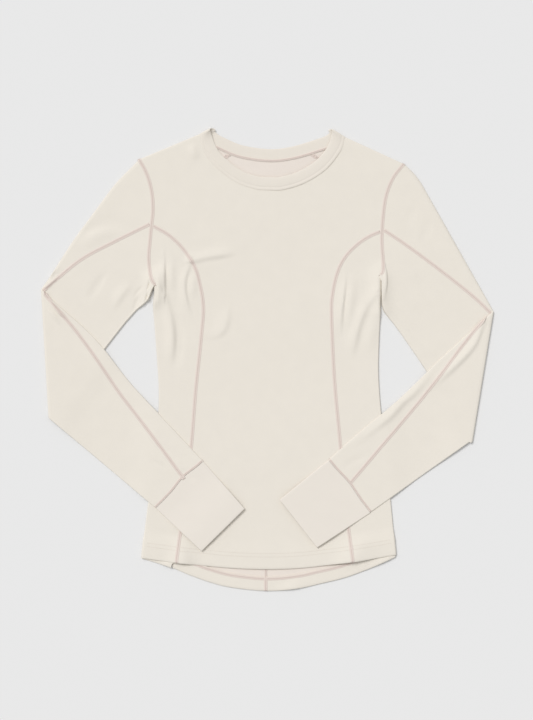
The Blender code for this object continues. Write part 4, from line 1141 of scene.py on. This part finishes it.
# At each shoulder fold the free edge stands up and opens into a small mouth, wider at the right.
# The tips are the ends of the free edge's front and back halves, each with its own height.
Mouth = namedtuple("Mouth", "front_tip front_height back_tip back_height reach")
MOUTH = {"right": Mouth((-81.8, 326.2), 9.0, (-74.0, 326.8), 3.2, 3.0),
         "left": Mouth((92.2, 325.9), 6.4, (86.8, 326.4), 2.2, 2.2)}
# The doubled band's own section, from its seam to the free edge and back: how far across the band,
# and how far out of its middle.
COLLAR_SECTION = [(-0.008, -0.40), (0.25, -0.45), (0.6, -0.45), (0.88, -0.43), (0.96, -0.32), (0.995, -0.16),
                  (1.0, -0.04), (0.99, 0.08), (0.95, 0.24), (0.87, 0.42), (0.75, 0.56), (0.6, 0.62),
                  (0.38, 0.58), (0.30, 0.46), (0.26, 0.28), (0.22, 0.18), (0.18, 0.28), (0.14, 0.46),
                  (0.05, 0.42), (-0.008, 0.10)]
COLLAR_KNIT = knit_material("collar_knit", (0.800, 0.745, 0.668), cell=0.0011, relief=0.00016, mottle=0.03)


def collar_half(path, half):
    """Seam places, free-edge places and outward normals along one half of the collar."""
    path = evenly(path, step=2.0)
    run = lengths(path)
    edge = path + left_of(path) * COLLAR_BAND
    level = np.full(len(path), COLLAR_LEVEL[half])
    if half == "front":
        level += COLLAR_LIFT * smooth((path[:, 0] - COLLAR_LIFT_FROM) / COLLAR_LIFT_OVER)
    edge_level = level.copy()
    for mouth, distance in ((MOUTH["right"], run), (MOUTH["left"], run[-1] - run)):
        near = smooth(1 - distance / COLLAR_BLEND)
        tip, height = mouth[:2] if half == "front" else mouth[2:4]
        edge += (tip - edge) * near[:, None]
        if half == "front":
            for part in (level, edge_level):
                part += (COLLAR_LEVEL["shoulder"] - part) * smooth(1 - distance / COLLAR_RISE)
        edge_level += (height - edge_level) * near ** 3
    normal = np.zeros((len(path), 3))
    normal[:, 2] = 1 if half == "front" else -1
    return np.column_stack([path, level]), np.column_stack([edge, edge_level]), normal


def collar_turn(front_end, back_end, side, steps=9):
    """Takes the band round a shoulder, from the end of its front half to the end of its back half."""
    angle = np.linspace(0, math.pi, steps + 1)[1:-1, None]
    part = (1 - np.cos(angle)) / 2
    out = np.append(SHOULDER_OUT[side], 0.0) * np.sin(angle)
    (front_seam_end, front_tip, _), (back_seam_end, back_tip, _) = front_end, back_end
    radius = (front_seam_end[2] - back_seam_end[2]) / 2
    return (front_seam_end + (back_seam_end - front_seam_end) * part + out * radius,
            front_tip + (back_tip - front_tip) * part + out * MOUTH[side].reach,
            out + np.cos(angle) * [0, 0, 1])


halves = collar_half(neck_front, "front"), collar_half(neck_back, "back")
left_turn, right_turn = (collar_turn(*([rows[end] for rows in half] for half in halves), side)
                         for side, end in (("left", -1), ("right", 0)))
seam_line, free_edge, outwards = (
    np.vstack([front_half, left, back_half[::-1], right[::-1]])
    for front_half, back_half, left, right in zip(*halves, left_turn, right_turn))
collar = Cloth()
across_cut = lengths(np.array(COLLAR_SECTION) * [COLLAR_BAND, 1])
loop_run = lengths(np.vstack([seam_line, seam_line[:1]]))
rows = []
for (part, height), across in zip(COLLAR_SECTION, across_cut):
    places = seam_line + (free_edge - seam_line) * part + outwards * height
    cut = np.column_stack([loop_run[:-1], np.full(len(places), across)])
    rows.append(collar.add(places, cut, loop_run[-1]))
collar.join(rows, flip=True, closed=True)
sew("collar", collar, [COLLAR_KNIT], "collar_knit", COLLAR_LAYER, held="folded", rests_on=["back_yoke_cloth"])


# ==== Flat seams ==============================================================================
# The panels are butted and joined by flat seams: both cut edges are covered, outside and inside,
# by a narrow band of threads that cross the join, with a slight groove down the middle.
SEAM_WIDTH = 5.6
SEAM_RISE = 0.35              # the band stands this far out of the cloth
SEAM_STEP = 1.6               # from section to section of a band
STITCH_PITCH = 2.3
STITCH_SLANT = 0.22           # the cover threads cross the band askew
THREAD = 0.24                 # radius of the cover threads
THREAD_END = 0.45             # a thread's ends are this part as thick
OFF_TABLE = 0.03              # no band sinks lower than this
NARROW = {"width": 3.4, "rise": 0.3, "pitch": 2.0}


def vary_colour(tree, shader, colour, noise, low, high):
    """Makes a surface's colour a little darker and lighter from place to place."""
    vary = add_node(tree, "MapRange", {"Value": noise, "To Min": low, "To Max": high})
    tint = add_node(tree, "VectorMath", {0: colour, "Scale": vary}, operation="SCALE")
    wire(tree, shader, {"Base Color": tint})


def seam_material():
    """Fine lengthwise threads, darker and pinker than the cloth, with painted shade darkening the groove down the
    middle.
    """
    material, tree, shader = new_material("flat_seam", Roughness=0.8, Specular_IOR_Level=0.3)
    where = add_node(tree, "UVMap", {}, uv_map="cut")
    across = add_node(tree, "SeparateXYZ", {0: where}).outputs[1]
    off_middle = add_node(tree, "Math", {0: across}, operation="ABSOLUTE")
    # painted shade: the colour darkens towards the middle of the band, where its groove lies
    seam_groove_shade_mask = add_node(tree, "MapRange", {"Value": off_middle, "From Min": 0.0003, "From Max": 0.0011},
                      interpolation_type="SMOOTHSTEP")
    blend = add_node(tree, "Mix", {0: seam_groove_shade_mask, 6: (0.66, 0.56, 0.505, 1.0), 7: (0.775, 0.685, 0.628, 1.0)},
                     data_type="RGBA")
    strands = add_node(tree, "TexNoise", {"Vector": where, "Scale": 900.0, "Detail": 2.0})
    vary_colour(tree, shader, blend.outputs[2], strands, 0.90, 1.06)
    bump = add_node(tree, "Bump", {"Strength": 0.5, "Distance": 0.0002, "Height": strands})
    wire(tree, shader, {"Normal": bump})
    return material


def thread_material(name, colour):
    """Spun sewing thread: slight twist marks and variation."""
    material, tree, shader = new_material(name, Roughness=0.7, Specular_IOR_Level=0.35)
    where = add_node(tree, "TexCoord", {}).outputs["Object"]
    twist = add_node(tree, "TexNoise", {"Vector": where, "Scale": 1800.0, "Detail": 1.0})
    vary_colour(tree, shader, colour, twist, 0.88, 1.08)
    return material


FLAT_SEAM = seam_material()
COVER_THREAD = thread_material("cover_thread", (0.79, 0.69, 0.635))
NEEDLE_THREAD = thread_material("needle_thread", (0.74, 0.67, 0.60))


def swept(count, sides, closed=False):
    """Quads of a section swept along a path, with its ends closed unless it is a loop."""
    faces = []
    for r in range(count if closed else count - 1):
        a, b = r * sides, (r + 1) % count * sides
        faces += [[a + s, a + (s + 1) % sides, b + (s + 1) % sides, b + s] for s in range(sides)]
    if not closed:
        faces.append(list(range(sides))[::-1])
        faces.append([(count - 1) * sides + s for s in range(sides)])
    return faces


def threads(name, runs, normals, radius, material, sides=6):
    """Short lengths of thread. Every run has the same number of places; its ends are thin."""
    count, places, _ = runs.shape
    way = unit(np.gradient(runs, axis=1))
    across = unit(np.cross(way, normals[:, None]))[:, :, None]
    up = np.cross(across, way[:, :, None])
    size = np.full((places, 1, 1), radius)
    size[[0, -1]] *= THREAD_END
    angles = 2 * np.pi * np.arange(sides)[:, None] / sides
    points = runs[:, :, None] + (across * np.cos(angles) + up * np.sin(angles)) * size
    pattern = swept(places, sides)
    faces = [[i + k * places * sides for i in face] for k in range(count) for face in pattern]
    new_piece(name, points.reshape(-1, 3), faces, [material])


def flat_seam(name, path, normals, closed=False, width=SEAM_WIDTH, rise=SEAM_RISE, pitch=STITCH_PITCH):
    """A band of thread over a join, outside and inside, with cover threads across its outside.

    width is one number, or one for each place of the path.
    """
    run = lengths(path)
    want = np.linspace(0, run[-1], max(4, round(run[-1] / SEAM_STEP)) + 1)
    half = np.interp(want, run, np.broadcast_to(width, run.shape)) / 2
    path, normals = at_lengths(want, run, path), at_lengths(want, run, normals)
    if closed:
        path, normals, want, half = path[:-1], normals[:-1], want[:-1], half[:-1]
    way = ways(path, closed)
    side = unit(np.cross(way, normals))
    up = np.cross(side, way)
    side, ahead = side * half[:, None], way * half[:, None]
    wall = KNIT / 2
    slope = [(1.0, wall - 0.25), (0.9, wall + rise * 0.55), (0.6, wall + rise), (0.26, wall + rise * 0.9)]
    section = ([(-x, h) for x, h in slope] + [(0.0, wall + rise * 0.4)] + slope[::-1]
               + [(0.8, -wall - 0.18), (-0.8, -wall - 0.18)])
    points = np.stack([path + side * x + up * h for x, h in section], axis=1).reshape(-1, 3)
    points[:, 2] = np.maximum(points[:, 2], OFF_TABLE)
    cut = np.stack([np.column_stack([want, half * x]) for x, _ in section], axis=1).reshape(-1, 2)
    faces = [face[::-1] for face in swept(len(path), len(section), closed)]
    new_piece(name, points, faces, [FLAT_SEAM], cut[np.concatenate(faces)])

    stitches = np.arange(pitch / 2, run[-1], pitch)
    path, side, up, ahead = (at_lengths(stitches, want, rows) for rows in (path, side, up, ahead))
    spots = [(-0.96, wall + 0.05), (-0.55, wall + rise + 0.08), (0.0, wall + rise * 0.75),
             (0.55, wall + rise + 0.08), (0.96, wall + 0.05)]
    runs = np.stack([path + side * x + up * h + ahead * x * STITCH_SLANT for x, h in spots], axis=1)
    runs[:, :, 2] = np.maximum(runs[:, :, 2], THREAD)
    threads(name + "_threads", runs, up, THREAD, COVER_THREAD)


def on_top(plan):
    """Places and normals on the middle of the upper layer."""
    slope = [(top_level(plan + move) - top_level(plan - move)) / 2 for move in np.eye(2)]
    normals = unit(np.column_stack([-slope[0], -slope[1], np.ones(len(plan))]))
    return np.column_stack([plan, top_level(plan)]), normals


def on_back(plan):
    """The same on the back cloth, whose outside faces the table."""
    return np.column_stack([plan, back_level(plan)]), np.tile([0.0, 0.0, -1.0], (len(plan), 1))


def round_edge(top, below, out, steps=7):
    """Half a turn from a place on the upper layer to one on the lower, standing out to one side."""
    middle, half = (top + below) / 2, (top[2] - below[2]) / 2
    angle = np.linspace(0, math.pi, steps + 1)[1:-1, None]
    normals = np.append(out, 0.0) * np.sin(angle) + np.cos(angle) * [0, 0, 1]
    return middle + (top - middle) * np.cos(angle) * [1, 1, 0] + normals * half, normals


def round_hem(places, normals):
    """Carries a seam round the folded edge of a hem and up behind it."""
    ahead, up = unit(places[-1] - places[-4]), normals[-1]
    turn = np.array([0.3, 0.7, 1.1, 1.57, 2.0, 2.5, 3.14])[:, None]
    behind = np.array([5.0, 10.0, TURN_UP])[:, None]
    rounded = places[-1] + ahead * HEM_STEP / 2 * np.sin(turn) - up * HEM_STEP / 2 * (1 - np.cos(turn))
    inside = places[-1] - ahead * behind - up * HEM_STEP
    return (np.vstack([places, rounded, inside]),
            np.vstack([normals, up * np.cos(turn) + ahead * np.sin(turn), np.tile(-up, (len(behind), 1))]))


def seam_run(path):
    return evenly(np.array(path), step=SEAM_STEP)


# Below this, the armhole seams run down in the creases at the armpits, narrower and deeper.
CREASE_TOP = {"right": 110.0, "left": 124.0}
CREASE_BLEND = 8.0
CREASE_DEPTH = 1.2
CREASE_NARROWS = 4.4
PANEL_SEAM_START = 2          # the panel seams' bands start this many steps from the armhole's
BACK_SEAM_STOP = 14           # and those on the back stop this many steps before the hem
for side in SIDES:
    arm_run = seam_run(armhole[side])[:-1]
    top, below = on_top(arm_run), on_back(arm_run)
    under = round_edge(top[0][-1], below[0][-1], unit(arm_run[-1] - arm_run[-3]))
    over = round_edge(top[0][0], below[0][0], SHOULDER_OUT[side])
    loop, normals = (np.vstack([upper, low_turn, lower[::-1], high_turn[::-1], upper[:1]])
                     for upper, low_turn, lower, high_turn in zip(top, under, below, over))
    in_crease = smooth((CREASE_TOP[side] - loop[:, 1]) / CREASE_BLEND) * (loop[:, 2] > BACK_Z + 0.1)
    loop[:, 2] -= CREASE_DEPTH * in_crease
    width = SEAM_WIDTH - CREASE_NARROWS * in_crease
    flat_seam("armhole_seam_" + side, loop, normals, closed=True, width=width)
    flat_seam("front_seam_" + side, *round_hem(*on_top(seam_run(front_seam[side])[PANEL_SEAM_START:])))
    flat_seam("back_seam_" + side, *on_back(seam_run(back_seam[side])[PANEL_SEAM_START:-BACK_SEAM_STOP]))
    cloth, rows = sleeves[side]
    last, before = (np.append(row, row[0]) for row in (rows[-1], rows[-2]))
    on_sleeve = cloth.points[last] + unit(cloth.points[before] - cloth.points[last]) * NARROW["width"] / 2
    flat_seam("cuff_seam_" + side, on_sleeve, cloth.normals()[last], closed=True, **NARROW)
    neck_end = neck_rest[0 if side == "right" else -1]
    flat_seam("shoulder_seam_" + side, *on_back(seam_run([arm_down[side][0], neck_end])))
flat_seam("yoke_seam", *on_back(seam_run([yoke_end["right"], yoke_end["left"]])))
flat_seam("centre_back_seam", *round_hem(*on_back(seam_run(centre_seam))))

# The one seam of each sleeve starts where the panel seam meets the armhole, runs down the front of
# the sleeve, goes round the outer edge at the elbow and on down the back to the cuff. Its places
# are on the cut: along it, and around it from the outer edge, negative on the back layer.
SLEEVE_SEAM = {
    "right": [(65.5, 69.5), (117.0, 44.0), (170.0, 19.8), (231.5, 1.9), (240.0, -2.6), (262.0, -5.6),
              (300.0, -11.0), (330.0, -15.4), (365.0, -18.6), (400.4, -21.2), (480.0, -28.6),
              (566.0, -38.6)],
    "left": [(68.5, 77.6), (99.5, 61.8), (153.5, 37.5), (209.6, 14.5), (243.9, 3.8), (262.0, -1.5),
             (285.0, -4.4), (316.2, -9.6), (357.7, -17.4), (431.0, -27.2), (510.7, -40.0), (557.5, -46.2)],
}
for side in SIDES:
    along, around = evenly(curve(SLEEVE_SEAM[side]), step=1.4).T
    surface, reach = arms[side].surface, 0.6
    normals = unit(np.cross(surface(along + reach, around) - surface(along - reach, around),
                            surface(along, around + reach) - surface(along, around - reach)))
    flat_seam("sleeve_seam_" + side, surface(along, around), normals * np.sign(normals[0, 2]))

# Inside the back of the neck the collar's seam is covered by a tape of the same stitches, with a
# small bar tack near each end.
TAPE_IN = 1.9                 # from the neck seam to the tape's middle
TAPE_LIFT = 0.84
TAPE_STOP = 3                 # steps short of each shoulder
TACK_X = {"right": -58.0, "left": 67.0}
TACK_Y = 290.2
TACK_Z = BACK_Z + 0.9
TACK_RING = 2.3
TACK_THREAD = 0.6
tape, tape_out = on_back(seam_run(neck_back + left_of(neck_back) * TAPE_IN)[TAPE_STOP:-TAPE_STOP])
tape[:, 2] += TAPE_LIFT
flat_seam("neck_tape", tape, -tape_out, **NARROW)
for side in SIDES:
    bpy.ops.mesh.primitive_torus_add(
        major_radius=TACK_RING * MM, minor_radius=TACK_THREAD * MM, major_segments=24, minor_segments=8,
        location=(TACK_X[side] * MM, TACK_Y * MM, TACK_Z * MM))
    tack = bpy.context.active_object
    tack.name = "neck_tack_" + side
    bpy.ops.object.transform_apply(location=True, rotation=True, scale=True)
    tack.data.materials.append(COVER_THREAD)
    tack.data.shade_smooth()
    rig.ride(tack, "root")
    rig.slot(tack, "body_knit")


# ==== Hem stitching ===========================================================================
# The hems are cover-stitched: two needle rows on the outside, and on the inside a flat band of
# thread over the turned-up edge, which shows along the back where it is longer than the front.
NEEDLE_ROWS = (16.6, 21.6)    # above the hem's edge
COVER_ROW = 16.4
HEM_STITCH = 3.0
HOLE_DEPTH = 0.35             # the needle thread dips this deep where it goes through
NEEDLE_RADIUS = 0.26
SIDE_CLEAR = 2.0              # the front rows end this far inside the body's edges
BACK_ROW_ENDS = (-170.0, 176.0)
COVER_ENDS = (-166.0, 170.0)


def stitch_row(name, places, normals, sunk=0.04):
    """A row of needle stitches, sunk in the cloth by so much between the holes where they go through."""
    run = lengths(places)
    starts = np.arange(0.5, run[-1] - HEM_STITCH, HEM_STITCH)
    runs = []
    for part, depth in ((0.0, HOLE_DEPTH), (0.25, sunk), (0.6, sunk), (0.85, HOLE_DEPTH)):
        at = starts + part * HEM_STITCH
        normal = at_lengths(at, run, normals)
        runs.append(at_lengths(at, run, places) + normal * (KNIT / 2 - depth + 0.1))
    threads(name, np.stack(runs, axis=1), normal, NEEDLE_RADIUS, NEEDLE_THREAD)


for number, height in enumerate(NEEDLE_ROWS, 1):
    row = front_hem + left_of(front_hem) * height
    ends = {side: x_at(side_fold[side], row[:, 1]) for side in SIDES}
    row = evenly(between(row, ends["right"] + SIDE_CLEAR, ends["left"] - SIDE_CLEAR), step=1.0)
    stitch_row("front_needle_row_" + str(number), *on_top(row))
    row = evenly(between(back_hem + left_of(back_hem) * height, *BACK_ROW_ENDS), step=2.0)
    stitch_row("back_needle_row_" + str(number), *on_back(row), sunk=0.15)
cover, cover_out = on_back(seam_run(between(back_hem + left_of(back_hem) * COVER_ROW, *COVER_ENDS)))
cover[:, 2] += HEM_STEP
flat_seam("hem_cover_stitch", cover, -cover_out, width=5.0, rise=0.28)


# ==== Table, light and camera =================================================================
# A plain pale table under soft white light all round, with one wide window behind the wearer's
# right shoulder. The camera looks straight down.
CAMERA_HEIGHT = 2.6
VIEW_HEIGHT = 1.0224          # what the picture's height covers at the cloth
FILM = 36.0
bpy.ops.mesh.primitive_plane_add(size=8.0, location=(0.0, 0.0, 0.0))
table = bpy.context.active_object
table.name = "table"
matt_white = new_material("table_surface", Base_Color=(0.8, 0.8, 0.8, 1.0), Roughness=1.0,
                          Specular_IOR_Level=0.0)
table.data.materials.append(matt_white[0])
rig.stage(table)

world = bpy.data.worlds.new("studio")
bpy.context.scene.world = world
world.use_nodes = True
wire(world.node_tree, world.node_tree.nodes["Background"], {"Color": (1.0, 1.0, 1.0, 1.0), "Strength": 0.55})
lamp = bpy.data.lights.new("window", "SUN")
lamp.angle = math.radians(24)
lamp.energy = 1.76
window = bpy.data.objects.new("window", lamp)
window.location = (-0.50, 0.56, 1.12)
window.rotation_mode = "QUATERNION"
window.rotation_quaternion = window.location.to_track_quat("Z", "Y")
bpy.context.scene.collection.objects.link(window)

lens = bpy.data.cameras.new("camera")
camera = bpy.data.objects.new("camera", lens)
camera.location = (-0.0014, 0.0007, CAMERA_HEIGHT)
lens.sensor_fit = "VERTICAL"
lens.sensor_height = lens.sensor_width = FILM
lens.lens = FILM * (CAMERA_HEIGHT - UPPER_Z * MM) / VIEW_HEIGHT
bpy.context.scene.collection.objects.link(camera)
bpy.context.scene.camera = camera
bpy.context.scene.view_settings.view_transform = "Standard"

shown_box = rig.bounds()
with open("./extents.json", "w") as file:
    json.dump({"cad": [list(corner) for corner in cad_box], "shown": [list(corner) for corner in shown_box]}, file)
